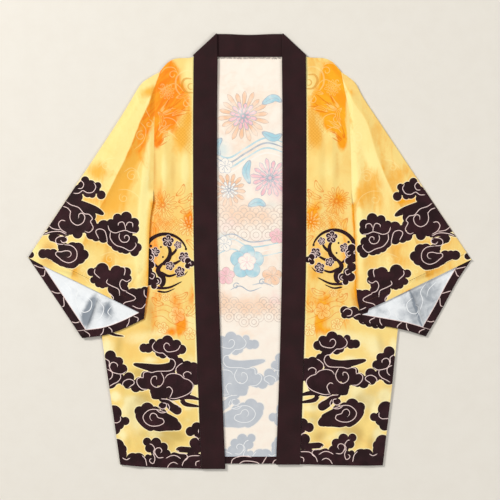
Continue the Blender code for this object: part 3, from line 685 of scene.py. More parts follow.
def edge_rows(outline, depths):
    """Rows of points just inside an outline, where an edge is rounded."""
    run = np.roll(outline, -1, axis=0) - np.roll(outline, 1, axis=0)
    across = to_left(run) / np.linalg.norm(run, axis=1)[:, None]
    area = 0.5 * np.sum(outline[:, 0] * np.roll(outline[:, 1], -1)
                        - outline[:, 1] * np.roll(outline[:, 0], -1))
    across = across * np.sign(area)
    points = np.vstack([outline + across * depth for depth in depths])
    gap = ring_gap(outline, *points.T)
    return points[inside(outline, *points.T) & (gap > 0.7 * min(depths))]


NORMAL_REACH = 0.9     # how far apart heights are read for a surface's direction


def triangulate(outline, points, shapes, lines):
    """Triangles over an outline whose edges follow the printed shapes and the given lines."""
    places, edges = [], []

    def add_line(line, closed):
        first = len(places)
        places.extend(Vector(p) for p in line)
        count = len(line)
        last = count if closed else count - 1
        edges.extend((first + k, first + (k + 1) % count) for k in range(last))

    add_line(outline, True)
    low, high = outline.min(0), outline.max(0)
    for ring, _ in shapes:
        if (ring.max(0) > low).all() and (ring.min(0) < high).all():
            add_line(ring, True)
    for line in lines:
        add_line(line, False)
    places.extend(Vector(p) for p in points)
    spots, _, faces, _, _, _ = delaunay_2d_cdt(places, edges, [], 0, 1e-3)
    spots = np.array([tuple(p) for p in spots])
    faces = np.array(faces)
    centre = spots[faces].mean(1)
    faces = faces[inside(outline, *centre.T)]
    used, faces = np.unique(faces, return_inverse=True)
    return spots[used], faces.reshape(-1, 3)


def paint(spots, faces, shapes, names):
    """The colour number of each triangle, from the last shape drawn over it.

    An edge is a fine line where it crosses a dark shape, and a pale halo on the ground.
    """
    centre = spots[faces].mean(1)
    number = np.zeros(len(faces), int)
    for ring, colour in shapes:
        low, high = ring.min(0), ring.max(0)
        near = np.nonzero(((centre > low) & (centre < high)).all(1))[0]
        if len(near):
            hit = near[inside(ring, *centre[near].T)]
            if colour == EDGE:
                on_dark = np.isin(number[hit], (names.index(DARK), names.index(CREAM)))
                number[hit] = np.where(on_dark, names.index(CREAM), names.index("halo"))
            else:
                number[hit] = names.index(colour)
    return number


def surface_normals(height, x, y, sign):
    """Unit normals of a height function at places."""
    reach = NORMAL_REACH
    dx = (height(x + reach, y) - height(x - reach, y)) / (2.0 * reach)
    dy = (height(x, y + reach) - height(x, y - reach)) / (2.0 * reach)
    normal = np.stack((-dx, -dy, np.ones_like(dx)), -1)
    return sign * normal / np.linalg.norm(normal, axis=1)[:, None]


def add_mesh(name, points, faces, materials, numbers=None):
    """An object from millimetre points, shaded smooth."""
    mesh = bpy.data.meshes.new(name)
    mesh.from_pydata((np.asarray(points) * MM).tolist(), [], faces)
    for material in materials:
        mesh.materials.append(material)
    if numbers is not None:
        mesh.polygons.foreach_set("material_index", np.asarray(numbers, np.int32))
    mesh.shade_smooth()
    piece = bpy.data.objects.new(name, mesh)
    bpy.context.scene.collection.objects.link(piece)
    return piece


def add_sheet(name, outline, top, under, points, shapes, lines, inks, upper, lower, tone,
              shading=None):
    """A closed cloth sheet between two height functions, with its print as separate faces.

    inks names the colours of the shapes, and upper and lower hold each one's material on the
    two faces of the cloth. tone gives the strength of its washes at places, which hold print washes and,
    on the fronts, sleeves and linings, painted highlight and painted shade. shading is a softer height
    function for the upper normals.
    """
    spots, faces = triangulate(outline, points, shapes, lines)
    number = paint(spots, faces, shapes, inks)
    x, y = spots[:, 0], spots[:, 1]
    count = len(spots)
    places = np.vstack((np.column_stack((spots, top(x, y))), np.column_stack((spots, under(x, y)))))
    a, b, c = (spots[faces[:, k]] for k in range(3))
    turn = (b[:, 0] - a[:, 0]) * (c[:, 1] - a[:, 1]) - (b[:, 1] - a[:, 1]) * (c[:, 0] - a[:, 0])
    faces[turn < 0.0] = faces[turn < 0.0][:, ::-1]
    edge = np.vstack((faces[:, (0, 1)], faces[:, (1, 2)], faces[:, (2, 0)]))
    owner = np.tile(np.arange(len(faces)), 3)
    _, first, times = np.unique(np.sort(edge, axis=1), axis=0, return_index=True, return_counts=True)
    rim = first[times == 1]
    quads = np.column_stack((edge[rim, 1], edge[rim, 0], edge[rim, 0] + count, edge[rim, 1] + count))
    every = faces.tolist() + (faces[:, ::-1] + count).tolist() + quads.tolist()
    numbers = np.concatenate((number, number + len(inks), number[owner[rim]]))
    materials = [upper[ink] for ink in inks] + [lower[ink] for ink in inks]
    sheet = add_mesh(name, places, every, materials, numbers)
    shade = sheet.data.attributes.new("tone", "FLOAT_COLOR", "POINT")
    values = np.zeros((2 * count, 4))
    washes = np.tile(tone(x, y), (2, 1))
    values[:, :washes.shape[1]] = washes
    shade.data.foreach_set("color", values.ravel())
    normals = np.vstack((surface_normals(shading or top, x, y, 1.0), surface_normals(under, x, y, -1.0)))
    sheet.data.normals_split_custom_set_from_vertices(normals.tolist())
    return sheet


# Materials. Every one is a node graph: colour with variation, a woven bump, sheen and roughness.

WEAVE_PITCH = 0.45     # spacing of the printed cloth's threads
BAND_PITCH = 0.9       # spacing of the band's coarser threads
WAVE_SCALE = 0.314     # scale of a wave texture for one wave a metre


def colour(code):
    """Linear colour from a hexadecimal code."""
    parts = [int(code[k:k + 2], 16) / 255.0 for k in (0, 2, 4)]
    return tuple(p / 12.92 if p <= 0.04045 else ((p + 0.055) / 1.055) ** 2.4 for p in parts) + (1.0,)


class Graph:
    """A material's node tree, with one call a node. An input is a constant or another socket."""

    def __init__(self, name):
        self.material = bpy.data.materials.new(name)
        self.material.use_nodes = True
        self.tree = self.material.node_tree
        self.shader = self.tree.nodes["Principled BSDF"]
        self.place = self.node("ShaderNodeTexCoord").outputs["Object"]

    def node(self, kind, inputs=None, **settings):
        made = self.tree.nodes.new(kind)
        for key, value in settings.items():
            setattr(made, key, value)
        for key, value in (inputs or {}).items():
            self.put(made.inputs[key], value)
        return made

    def put(self, socket, value):
        if isinstance(value, bpy.types.NodeSocket):
            self.tree.links.new(value, socket)
        else:
            socket.default_value = value

    def maths(self, operation, a, b, clamp=False):
        return self.node("ShaderNodeMath", {0: a, 1: b}, operation=operation,
                         use_clamp=clamp).outputs[0]

    def noise(self, scale, detail=2.0, rough=0.5, stretch=None, distortion=0.0, turn=0.0):
        place = self.place
        if stretch:
            place = self.node("ShaderNodeVectorRotate", {"Vector": place, "Angle": turn}).outputs[0]
            place = self.node("ShaderNodeMapping", {"Vector": place, "Scale": stretch}).outputs[0]
        return self.node("ShaderNodeTexNoise", {"Vector": place, "Scale": scale, "Detail": detail,
                                                "Roughness": rough,
                                                "Distortion": distortion}).outputs["Fac"]

    def ramp(self, value, low, high, to_low=0.0, to_high=1.0):
        return self.node("ShaderNodeMapRange", {"Value": value, "From Min": low, "From Max": high,
                                                "To Min": to_low, "To Max": to_high},
                         interpolation_type="SMOOTHSTEP").outputs[0]

    def mix(self, share, a, b):
        return self.node("ShaderNodeMix", {0: share, 6: a, 7: b}, data_type="RGBA").outputs[2]

    def swayed(self, value, flow, amount):
        """A value that a noise raises and lowers."""
        sway = self.maths("MULTIPLY", self.maths("SUBTRACT", flow, 0.5), amount)
        return self.maths("ADD", value, sway)

    def tones(self):
        """The strengths of the washes: orange, gold, painted highlight and painted shade."""
        tone = self.node("ShaderNodeAttribute", attribute_name="tone").outputs
        parts = self.node("ShaderNodeSeparateXYZ", {"Vector": tone["Vector"]}).outputs
        return [*parts, tone["Alpha"]]

    def wave(self, axis, pitch, turn):
        place = self.node("ShaderNodeMapping", {"Vector": self.place,
                                                "Rotation": (0.0, 0.0, turn)}).outputs[0]
        return self.node("ShaderNodeTexWave", {"Vector": place, "Scale": WAVE_SCALE / (pitch * MM),
                                               "Distortion": 0.6, "Detail": 1.0,
                                               "Detail Scale": 0.4},
                         bands_direction=axis).outputs["Fac"]

    def cloth(self, tint, pitch, rough, bump=0.00012, sheen=0.03, turn=0.0, slub=0.35):
        """Finish the graph as woven cloth of a colour."""
        warp, weft = self.wave("X", pitch, turn), self.wave("Y", pitch, turn)
        height = self.maths("MULTIPLY", warp, weft)
        height = self.maths("ADD", height, self.maths("MULTIPLY", self.noise(900.0, 3.0), slub))
        softness = self.noise(24.0, 3.0, 0.55)
        height = self.maths("ADD", height, self.maths("MULTIPLY", softness, 1.6))
        normal = self.node("ShaderNodeBump", {"Strength": 0.55, "Distance": bump,
                                              "Height": height}).outputs["Normal"]
        self.put(self.shader.inputs["Normal"], normal)
        self.put(self.shader.inputs["Base Color"], tint)
        self.put(self.shader.inputs["Roughness"],
                 self.ramp(self.noise(60.0, 3.0), 0.3, 0.7, rough - 0.06, rough + 0.06))
        self.shader.inputs["Specular IOR Level"].default_value = 0.18
        self.shader.inputs["Sheen Weight"].default_value = sheen
        self.shader.inputs["Sheen Roughness"].default_value = 0.45
        return self.material


# The ground's pale, gold, orange and light orange colours on each side with its painted highlight and
# painted shade colours, the painted highlight colour of its lower part and the painted shade colour of
# its upper part, and the heights between which these change
GROUND_COLOURS = {"left": ("f6d984", "f5b23c", "f98410", "fbab26", "fbeca0", "b79c50"),
                  "right": ("f9dc88", "f4b03e", "f99e12", "fab622", "fceca0", "b99a50")}
LOW_HIGHLIGHT = "fff2b8"
HIGH_SHADE = "d69640"
LOWER_PART = (-170.0, -90.0)
# Channels of the tone attribute: orange and gold washes of the print, in places also warm painted shade,
# then painted highlight and painted shade
ORANGE, GOLD, HIGHLIGHT, SHADE = range(4)


def uneven(name, code, second, patch, amount, fleck, pitch, rough, **finish):
    """Cloth of one colour with patches and flecks of a second, each by its scale and levels."""
    graph = Graph(name)
    share = graph.ramp(graph.noise(patch[0], 4.0, 0.6), patch[1], 0.75, 0.0, amount)
    specks = graph.ramp(graph.noise(fleck[0], 2.0), fleck[1], 0.8, 0.0, fleck[2])
    tint = graph.mix(graph.maths("ADD", share, specks, True), colour(code), colour(second))
    return graph.cloth(tint, pitch, rough, **finish)


def printed(name, code, second, amount=0.35):
    """Ink of nearly one colour on the woven cloth."""
    return uneven(name, code, second, (38.0, 0.35), amount, (1400.0, 0.55, 0.25), WEAVE_PITCH, 0.62)


def plain(name, code, second, pitch, rough, amount=0.5, **finish):
    """Dyed cloth or thread."""
    return uneven(name, code, second, (30.0, 0.3), amount, (700.0, 0.5, 0.3), pitch, rough, **finish)


def printed_ground(name, side, over=None, share_over=0.0):
    """Watercolour ground: the tone attribute says where the orange and gold washes are, and where the
    painted highlight and painted shade are.

    over is a thin ink printed on top of it.
    """
    pale, gold, orange, amber, highlight_tint, shade = map(colour, GROUND_COLOURS[side])
    graph = Graph(name + "_" + side)
    share = graph.tones()
    broad = graph.noise(16.0, 5.0, 0.62, distortion=0.6)
    streak = graph.noise(24.0, 6.0, 0.62, stretch=(2.4, 0.8, 1.0), distortion=1.3)
    fine = graph.noise(170.0, 4.0, 0.65)
    grain = graph.noise(900.0, 2.0, 0.6)

    height = graph.node("ShaderNodeSeparateXYZ", {"Vector": graph.place}).outputs["Y"]
    lower = graph.ramp(height, LOWER_PART[0] * MM, LOWER_PART[1] * MM)
    # Painted highlight and painted shade colours, each changing between the lower and the upper part
    light = graph.mix(lower, colour(LOW_HIGHLIGHT), highlight_tint)
    painted_shade = graph.mix(lower, shade, colour(HIGH_SHADE))

    def wash(strength, low, high, spread, most, flow=streak):
        edge = graph.swayed(graph.swayed(strength, flow, spread), fine, 0.3)
        return graph.ramp(edge, low, high, 0.0, most)

    tint = graph.mix(graph.ramp(broad, 0.42, 0.70, 0.0, 0.36), pale, gold)
    # Painted highlight, then the gold and orange washes, then painted shade
    tint = graph.mix(wash(share[HIGHLIGHT], 0.15, 0.85, 0.9, 0.92, broad), tint, light)
    tint = graph.mix(wash(share[GOLD], 0.15, 0.95, 1.1, 0.92), tint, gold)
    brush = graph.noise(30.0, 5.0, 0.62, (0.7, 2.6, 1.0), 1.0, 0.8 * SIDES[side])
    strong = graph.mix(graph.ramp(brush, 0.36, 0.66, 0.0, 0.75), orange, amber)
    tint = graph.mix(wash(share[ORANGE], 0.16, 0.76, 1.2, 1.0), tint, strong)
    tint = graph.mix(wash(share[SHADE], 0.05, 0.95, 0.25, 0.6, broad), tint, painted_shade)
    tint = graph.mix(graph.ramp(grain, 0.5, 0.8, 0.0, 0.10), tint, gold)
    if over:
        tint = graph.mix(graph.ramp(fine, 0.3, 0.7, 0.75 * share_over, share_over), tint, colour(over))
    return graph.cloth(tint, WEAVE_PITCH, 0.6)


def shaded(name, base, tints, rough, grain):
    """Cloth of one colour with a second, third and fourth by the tone attribute."""
    graph = Graph(name)
    flow = graph.noise(55.0, 5.0, 0.6, distortion=0.5)
    tint = graph.mix(graph.ramp(flow, 0.35, 0.75, 0.0, grain), colour(base[0]), colour(base[1]))
    for strength, (code, most) in zip(graph.tones(), tints):
        level = graph.swayed(strength, flow, 0.8)
        tint = graph.mix(graph.ramp(level, 0.1, 0.9, 0.0, most), tint, colour(code))
    return graph.cloth(tint, WEAVE_PITCH, rough)


BIAS = 0.785           # the band's threads run across it at this angle
THREAD_PITCH = 0.3
INK = {
    "cloud": printed("print_cloud", "200a0e", "3c1a22", 0.7),
    "line": printed("print_line", "f2dad6", "e8c6c0"),
    "pink": printed("print_pink", "d9566c", "e88a8c", 0.7),
    "blue": printed("print_blue", "3a8fb0", "7cc0d2", 0.7),
    "slate": printed("print_slate", "3c4a63", "5d6c86", 0.6),
    # The lining's grey second colour is painted shade of its creases, placed by LINING_SHADE
    "lining": shaded("lining_ground", ("eef2f6", "d3dae2"), (("717b88", 0.9),), 0.42, 0.3),
    "lining_line": plain("lining_line", "f7f9fb", "e2e8ed", WEAVE_PITCH, 0.45),
}
# Each side's printed grounds carry the painted highlight and painted shade of the tone attribute
INKS = {side: {**INK,
               "ground": printed_ground("print_ground", side),
               "halo": printed_ground("print_halo", side, "fff3c8", 0.8),
               "curl": printed_ground("print_curl", side, "fff0ae", 0.34),
               "orange": printed_ground("print_orange", side, "e87608", 0.8),
               "gold": printed_ground("print_gold", side, "dd9020", 0.7)} for side in SIDES}
FADED = {
    "ground": shaded("inside_ground", ("fbf2e6", "f7e6d8"),
                     (("f7cfae", 0.75), ("bfe0e8", 0.7), ("f6c4ca", 0.75)), 0.62, 0.5),
    **{name: printed("inside_" + name, code, second, amount) for name, code, second, amount in (
        ("cloud", "bcc2cb", "ced2d8", 0.6), ("line", "eceef0", "dde0e4", 0.35),
        ("halo", "efeae4", "e4e1df", 0.35), ("curl", "fbf6ee", "f6eadd", 0.35),
        ("orange", "f6c8a4", "fbebdc", 1.0), ("gold", "c8b5aa", "ead9cc", 1.0),
        ("pink", "f5bfc8", "fbe8e4", 1.0), ("blue", "a9d4e2", "eaf0ee", 1.0),
        ("slate", "a9b4c2", "dcdfe2", 0.9))},
}
BAND = plain("band_cloth", "251113", "33191d", BAND_PITCH, 0.8, 0.9, turn=BIAS, bump=0.0003, sheen=0.1)
BAND_THREAD, PALE_THREAD, GREY_THREAD, GOLD_THREAD = (
    plain(name + "_thread", code, second, THREAD_PITCH, rough)
    for name, code, second, rough in (("band", "3a1d22", "1d0d10", 0.55),
                                      ("pale", "efe6dc", "d3c8be", 0.55),
                                      ("overlock", "a89f9a", "6b605e", 0.6),
                                      ("gold", "5c3a1c", "3c2414", 0.7)))


# Pieces

WASH = ("x", "y", "wide", "high", "turn", "strength")
# Soft oval washes of the left half in pixels of the photograph: orange and gold, which are print and in
# places warm painted shade, painted highlight, and painted shade in folds; the right half is the mirror
# image.
FRONT_WASH = (
    [(168, 72, 10, 11, 0, 1.3), (163, 88, 9, 16, 0, 1.3), (175, 90, 8, 13, 0, 1.1),
     (160, 110, 7, 20, 0, 1.4), (168, 122, 8, 10, -30, 1.1), (157, 138, 4.5, 10, 0, 1.4),
     (177, 108, 8, 12, 20, 0.9), (184, 100, 6, 10, 0, 0.5), (160, 200, 8, 18, 0, 0.6),
     (166, 224, 12, 10, 0, 0.5), (190, 218, 6, 10, 0, 1.15), (183, 250, 9, 16, 0, 0.4),
     (155, 244, 4, 30, 0, 0.6), (176, 302, 16, 14, 0, 0.6), (157, 300, 6, 18, 0, 0.5),
     (181, 322, 6, 13, -10, 1), (171, 332, 8, 5, 0, 0.7), (193, 300, 5, 16, 0, 0.5),
     (180, 200, 9, 10, 0, 0.35), (152, 318, 5, 12, 0, 0.4)],
    [(184, 136, 8, 14, 0, 1), (178, 205, 20, 14, 0, 0.35), (172, 262, 20, 26, 0, 0.5),
     (174, 316, 20, 16, 0, 0.45), (188, 112, 6, 22, 0, 0.7), (172, 150, 12, 4, 0, 0.2)],
    [(189, 72, 6, 18, 0, 0.9), (172, 170, 18, 14, 0, 0.35), (106, 348, 4, 12, 0, 0.8),
     (136, 402, 9, 5, 20, 0.9), (165, 333, 14, 4, 0, 0.6), (124, 411, 4, 6, 0, 0.6),
     (150, 360, 8, 4, 0, 0.7), (194, 387, 4, 10, 0, 0.7), (115, 396, 6, 6, 0, 0.9),
     (189, 408, 8, 4, 0, 0.6), (122, 434, 5, 8, -20, 0.7), (156, 434, 8, 3.5, 0, 0.9),
     (140, 338, 16, 8, 0, 0.5), (128, 404, 4, 8, -10, 0.4), (170, 438, 8, 4, 0, 0.3),
     (188, 420, 4, 3, 0, 0.5)],
    [(119, 345, 5, 15, 8, 0.55), (141, 373, 6, 5, 0, 0.8), (140, 400, 8, 9, -20, 0.75),
     (132, 412, 4, 12, -10, 0.4), (185, 420, 8, 5, 0, 0.35), (180, 436, 9, 6, 20, 0.7),
     (144, 434, 7, 5, 0, 0.45), (129, 442, 4, 9, -10, 0.5), (148, 330, 8, 6, 0, 0.2)],
)
# The same for a sleeve: orange, gold, painted highlight and painted shade
SLEEVE_WASH = (
    [(152, 112, 4, 28, 14, 0.65), (143, 140, 5, 18, 22, 0.25), (96, 200, 12, 4, 10, 0.7),
     (136, 182, 5, 12, 24, 0.35), (92, 292, 8, 4, 15, 0.6), (74, 276, 10, 3, 24, 0.5),
     (149, 92, 8, 3, -20, 0.35), (104, 168, 8, 8, 30, 0.2), (130, 152, 5, 8, 20, 0.25)],
    [(149, 92, 9, 6, -20, 0.8), (128, 176, 9, 22, 24, 0.8), (116, 206, 14, 14, 15, 0.6),
     (98, 172, 12, 10, 30, 0.9), (92, 200, 14, 8, 15, 0.6), (80, 244, 24, 6, 0, 0.3),
     (100, 262, 24, 8, 0, 0.5), (68, 270, 20, 7, 22, 0.6), (104, 246, 9, 16, 0, 0.4),
     (142, 262, 6, 26, 0, 0.3), (136, 108, 4, 10, 25, 0.3), (116, 250, 16, 6, 0, 0.3)],
    [(146, 168, 3.6, 40, 6, 0.9), (143, 220, 5, 46, 4, 0.7), (112, 262, 5, 12, 0, 0.4),
     (46, 245, 7, 5, 0, 0.6), (34, 250, 8, 6, 0, 0.6), (120, 262, 14, 4, 0, 0.4)],
    [(107, 252, 2.5, 14, 12, 0.5), (74, 270, 2, 8, 20, 0.4)],
)
# What each side adds to those washes or takes from them, with the painted highlights and painted shade of
# its folds, in the photograph's own pixels: orange, gold, painted highlight and painted shade
FRONT_SIDE = {
    "left": (
        [(160, 305, 14, 14, 0, -0.4), (186, 306, 10, 12, 0, -0.25), (160, 218, 9, 18, 0, -0.3),
         (184, 248, 10, 8, 0, -0.5), (188, 206, 8, 9, 0, -0.5)],
        [(160, 312, 14, 14, 0, -0.25), (189, 318, 9, 14, 0, -0.8), (189, 205, 9, 10, 0, -1),
         (189, 134, 5, 10, 0, -0.6), (176, 142, 6, 14, 0, 0.5), (188, 248, 9, 8, 0, -0.8)],
        [(164, 168, 3, 30, 0, 0.55), (185, 168, 4.5, 24, 0, 0.75), (112, 348, 5, 10, 0, 0.4),
         (164, 318, 8, 8, 0, 0.4), (190, 322, 7, 12, 0, 0.8), (138, 416, 14, 22, 0, 0.7),
         (182, 248, 9, 8, 0, 0.5), (190, 359, 7, 6, 0, 0.5)],
        [(153.5, 168, 3.2, 30, 0, 0.9), (173, 172, 4.2, 26, 0, 0.55), (150, 311, 5, 14, 0, 0.9),
         (164, 434, 14, 22, 0, 0.8), (124, 414, 6, 6, 0, 0.3), (147, 398, 7, 8, 0, 0.55),
         (133, 373, 8, 8, 0, 0.4), (146, 289, 4, 10, 0, 0.5)]),
    "right": (
        [(334, 106, 12, 12, 0, -0.6), (342, 303, 8, 12, 0, -0.4), (342, 218, 8, 14, 0, -0.3),
         (316, 216, 5, 12, 0, 0.6), (314, 320, 7, 10, 0, -0.35), (352, 96, 5, 30, 0, -0.4),
         (356, 290, 4, 8, 0, 0.2)],
        [(313, 65, 7, 12, 0, 0.7), (316, 206, 6, 12, 0, 0.3), (342, 300, 8, 12, 0, -0.3),
         (314, 324, 8, 12, 0, -0.6), (316, 248, 7, 6, 0, -0.5), (356, 294, 6, 14, 0, 0.9),
         (315, 275, 6, 8, 0, 0.5)],
        [(328, 167, 5, 20, 0, 0.2), (375, 348, 10, 12, 0, 0.6), (345, 400, 60, 55, 0, 0.35),
         (314, 66, 8, 14, 0, -0.8), (315, 328, 8, 10, 0, 0.4), (357, 394, 7, 14, 0, 0.5)],
        [(337, 166, 3, 22, 0, 0.5), (344, 168, 3, 22, 0, 0.15), (312, 414, 8, 12, 0, 0.3),
         (357, 304, 5, 9, 0, 0.9), (352, 434, 14, 16, 0, 0.8), (315, 401, 6, 6, 0, 0.4),
         (374, 394, 10, 16, 0, 0.5)]),
}
# The same for each sleeve: orange, gold, painted highlight and painted shade
SLEEVE_SIDE = {
    "left": (
        [(92, 292, 8, 4, 0, -0.4), (74, 276, 10, 5, 0, -0.4), (152, 240, 4, 26, 0, -0.3)],
        [(94, 254, 18, 12, 0, -0.65), (66, 274, 18, 8, 20, -0.5), (92, 278, 12, 12, 0, -0.35),
         (142, 256, 10, 16, 0, -0.45), (104, 164, 6, 6, 0, 0.3), (136, 166, 8, 12, 0, -0.15),
         (108, 262, 6, 8, 0, 0.6), (137, 150, 6, 13, 20, 0.8)],
        [(90, 262, 14, 16, 0, 0.5), (138, 258, 12, 14, 0, 0.4), (46, 245, 7, 5, 0, -0.6),
         (64, 274, 8, 6, 20, 0.4), (92, 290, 9, 6, 0, 0.9), (35, 262, 5, 5, 0, 0.4)],
        [(49, 254, 8, 12, 0, 1.2)]),
    "right": (
        [(360, 92, 6, 10, 0, -0.3)],
        [(351, 90, 7, 8, 0, -0.8), (364, 110, 5, 11, -25, -0.7), (401, 170, 11, 15, -20, -0.7),
         (371, 160, 6, 10, 0, -0.35), (362, 194, 9, 14, 0, 0.95), (358, 92, 6, 10, 0, -0.4),
         (370, 262, 8, 10, 0, 0.4), (356, 262, 6, 12, 0, -0.35), (386, 205, 6, 10, 0, -0.4)],
        [(362, 194, 9, 14, 0, -0.9), (370, 262, 8, 10, 0, -0.5), (356, 262, 5, 12, 0, 0.4),
         (371, 160, 6, 10, 0, 0.4), (454, 262, 7, 6, 0, 1), (386, 150, 8, 26, -28, -0.5)],
        []),
}
# The back's faded washes, not mirrored: peach, blue and pink
BACK_WASH = (
    [(243, 118, 26, 24, 0, 0.7), (229, 190, 18, 18, 0, 0.5), (252, 150, 24, 12, 0, 0.3),
     (250, 215, 40, 14, 0, 0.7), (250, 306, 40, 12, 0, 0.8), (245, 335, 12, 10, 0, 0.5),
     (222, 300, 8, 16, 0, 0.4), (262, 262, 20, 14, 0, 0.35), (230, 80, 16, 10, 0, 0.25),
     (268, 96, 12, 10, 0, 0.35)],
    [(222, 150, 10, 12, 0, 0.6), (272, 140, 10, 10, 0, 0.6), (247, 262, 17, 17, 0, 0.5),
     (270, 206, 12, 6, 0, 0.4), (224, 236, 8, 5, 0, 0.5)],
    [(268, 180, 18, 14, 0, 0.7), (228, 225, 12, 10, 0, 0.4), (262, 240, 14, 10, 0, 0.4),
     (275, 300, 10, 8, 0, 0.5), (280, 192, 8, 12, 0, 0.5)],
)


def wash(table, px, py):
    """Strength of soft oval washes at pixels of the photograph."""
    total = np.zeros(np.shape(px))
    for row in table:
        spot = dict(zip(WASH, row))
        c, s = np.cos(np.radians(spot["turn"])), np.sin(np.radians(spot["turn"]))
        dx, dy = px - spot["x"], py - spot["y"]
        across, down = (c * dx + s * dy) / spot["wide"], (c * dy - s * dx) / spot["high"]
        total = total + spot["strength"] * np.exp(-(across ** 2 + down ** 2))
    return total


def tones_of(tables, mirrored=False):
    """A function that gives the washes of the tables at places in the frame."""
    def read(x, y):
        px = PIXEL_CENTRE[0] - (np.abs(x) if mirrored else -x) / PIXEL
        py = PIXEL_CENTRE[1] - y / PIXEL
        return np.stack([wash(table, px, py) for table in tables], -1)
    return read


def side_tones(both, own):
    """The washes of the mirrored tables with those of one side."""
    mirrored, single = tones_of(both, True), tones_of(own)
    return lambda x, y: mirrored(x, y) + single(x, y)


def front_tones(side):
    """The washes of a front, with warm painted shade beside the sleeve's inner edge that lies over it,
    and a painted highlight along the seam beside the band.
    """
    read = side_tones(FRONT_WASH, FRONT_SIDE[side])
    inner = curve(SLEEVES[side]["inner"], GUIDE_STEP)

    def tones(x, y):
        tone = read(x, y)
        # warm painted shade beside the sleeve's inner edge, which lies over the front
        tone[:, ORANGE] += 0.7 * soft(line_distance(inner, x, y)[0], 4.0)
        # painted highlight along the seam beside the band, with less of the orange and gold washes
        line = soft(np.abs(x - band_edge(side, y)), 2.2)
        tone[:, HIGHLIGHT] += 1.4 * line
        tone[:, :HIGHLIGHT] *= 1.0 - 0.8 * line[:, None]
        return tone

    return tones


def sleeve_tones(side):
    """The washes of a sleeve, with painted highlight on the facet before the ridge, where it faces the
    light, gold and orange beyond it that are partly print and partly warm painted shade, warm painted
    shade along the inner fold's edge and painted shade along the ridge.
    """
    read = side_tones(SLEEVE_WASH, SLEEVE_SIDE[side])
    ridge = curve(SLEEVE_CREASES[side][0][-1], GUIDE_STEP)
    inner = curve(SLEEVES[side]["inner"], GUIDE_STEP)

    def tones(x, y):
        tone = read(x, y)
        gap, share, hand = line_distance(ridge, x, y)
        beyond = smooth(-1.2, 1.2, hand * gap)
        before = 1.0 - beyond
        high = 1.0 - smooth(0.45, 0.8, share)
        near = np.exp(-gap / 20.0)
        inward = line_distance(inner, x, y)[0]
        # warm painted shade along the inner fold's edge
        tone[:, GOLD] += 0.7 * soft(inward, 4.5)
        tone[:, ORANGE] += 0.3 * soft(inward, 2.8)
        # painted highlight on the facet before the ridge; beyond it gold and orange, partly print and
        # partly warm painted shade
        if side == "left":
            tone[:, HIGHLIGHT] += before * (0.28 + 0.3 * high)
            tone[:, GOLD] += beyond * (0.10 + 0.55 * near)
            tone[:, ORANGE] *= 1.0 - 0.5 * before
            tone[:, ORANGE] += 0.6 * beyond * near * (1.0 - smooth(0.2, 0.55, share))
            tone[:, GOLD] += 0.2 * before * near * (1.0 - smooth(0.1, 0.3, share))
            # painted highlight on the rounded inner fold
            tone[:, HIGHLIGHT] += 0.5 * soft(inward - 15.0, 8.0)
        else:
            tone[:, HIGHLIGHT] += before * (0.25 + 0.4 * high)
            tone[:, HIGHLIGHT] *= 1.0 - 0.7 * beyond
            tone[:, GOLD] += beyond * (0.25 + 0.2 * high)
            tone[:, ORANGE] *= 1.0 - 0.5 * before * high
            tone[:, ORANGE] += 0.12 * beyond * near
            # painted shade beyond the ridge
            tone[:, SHADE] += 0.12 * beyond * np.exp(-gap / 6.0)
        # painted shade along the lower ridge
        tone[:, SHADE] += 0.4 * soft(gap, 1.3) * smooth(0.5, 0.7, share)
        return tone

    return tones


def everywhere(x, y):
    return np.ones(np.shape(x), bool)


def finish(piece, slot, *nodes):
    """Let a piece ride on the jacket and stand for nodes. slot is not used."""
    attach(piece, "root")
    if nodes:
        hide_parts(*nodes)
    return piece


# Sewing. A stitch is a short rounded thread, half sunk in the cloth: along, across and above the
# cloth in shares of its length, width and height.
STITCH = [(-0.5, 0.0, -0.4), (-0.3, -0.5, -0.4), (0.3, -0.5, -0.4), (0.5, 0.0, -0.4), (0.3, 0.5, -0.4),
          (-0.3, 0.5, -0.4), (-0.5, 0.0, 0.2), (-0.3, -0.5, 0.4), (0.3, -0.5, 0.4), (0.5, 0.0, 0.2),
          (0.3, 0.5, 0.4), (-0.3, 0.5, 0.4), (-0.24, 0.0, 1.0), (0.24, 0.0, 1.0)]
STITCH_FACES = ([(5, 4, 3, 2, 1, 0), (6, 7, 12), (7, 8, 13, 12), (8, 9, 13), (9, 10, 13),
                 (10, 11, 12, 13), (11, 6, 12)]
                + [(k, (k + 1) % 6, 6 + (k + 1) % 6, 6 + k) for k in range(6)])


def sew(name, line, level, threads, slot, length=2.6, pitch=3.8, width=0.55, height=0.3, slant=0.0,
        order=(0,)):
    """Stitches along a line of cloth whose height is level(x, y), each in the next thread.

    With a slant in degrees they zigzag.
    """
    line = np.asarray(line, float)
    reach = lengths(line)
    count = int(reach[-1] / pitch)
    at = (np.arange(count) + 0.5) * reach[-1] / count
    spots, ahead, behind = (places_at(line, reach, at + step) for step in (0.0, 0.5, -0.5))
    way = np.arctan2(*(ahead - behind).T[::-1]) + np.radians(slant) * (-1.0) ** np.arange(count)
    form = np.array(STITCH) * (length, width, height)
    swell = 1.0 + 0.08 * np.sin(2.6 * np.arange(count))[:, None]
    u, v = form[:, 0] * swell, form[:, 1]
    c, s = np.cos(way)[:, None], np.sin(way)[:, None]
    x = spots[:, :1] + u * c - v * s
    y = spots[:, 1:] + u * s + v * c
    z = level(x.ravel(), y.ravel()).reshape(x.shape) + form[:, 2]
    faces = [[len(STITCH) * k + corner for corner in face]
             for k in range(count) for face in STITCH_FACES]
    number = np.repeat([order[k % len(order)] for k in range(count)], len(STITCH_FACES))
    row = add_mesh(name, np.stack((x, y, z), -1).reshape(-1, 3), faces, threads, number)
    return finish(row, slot)


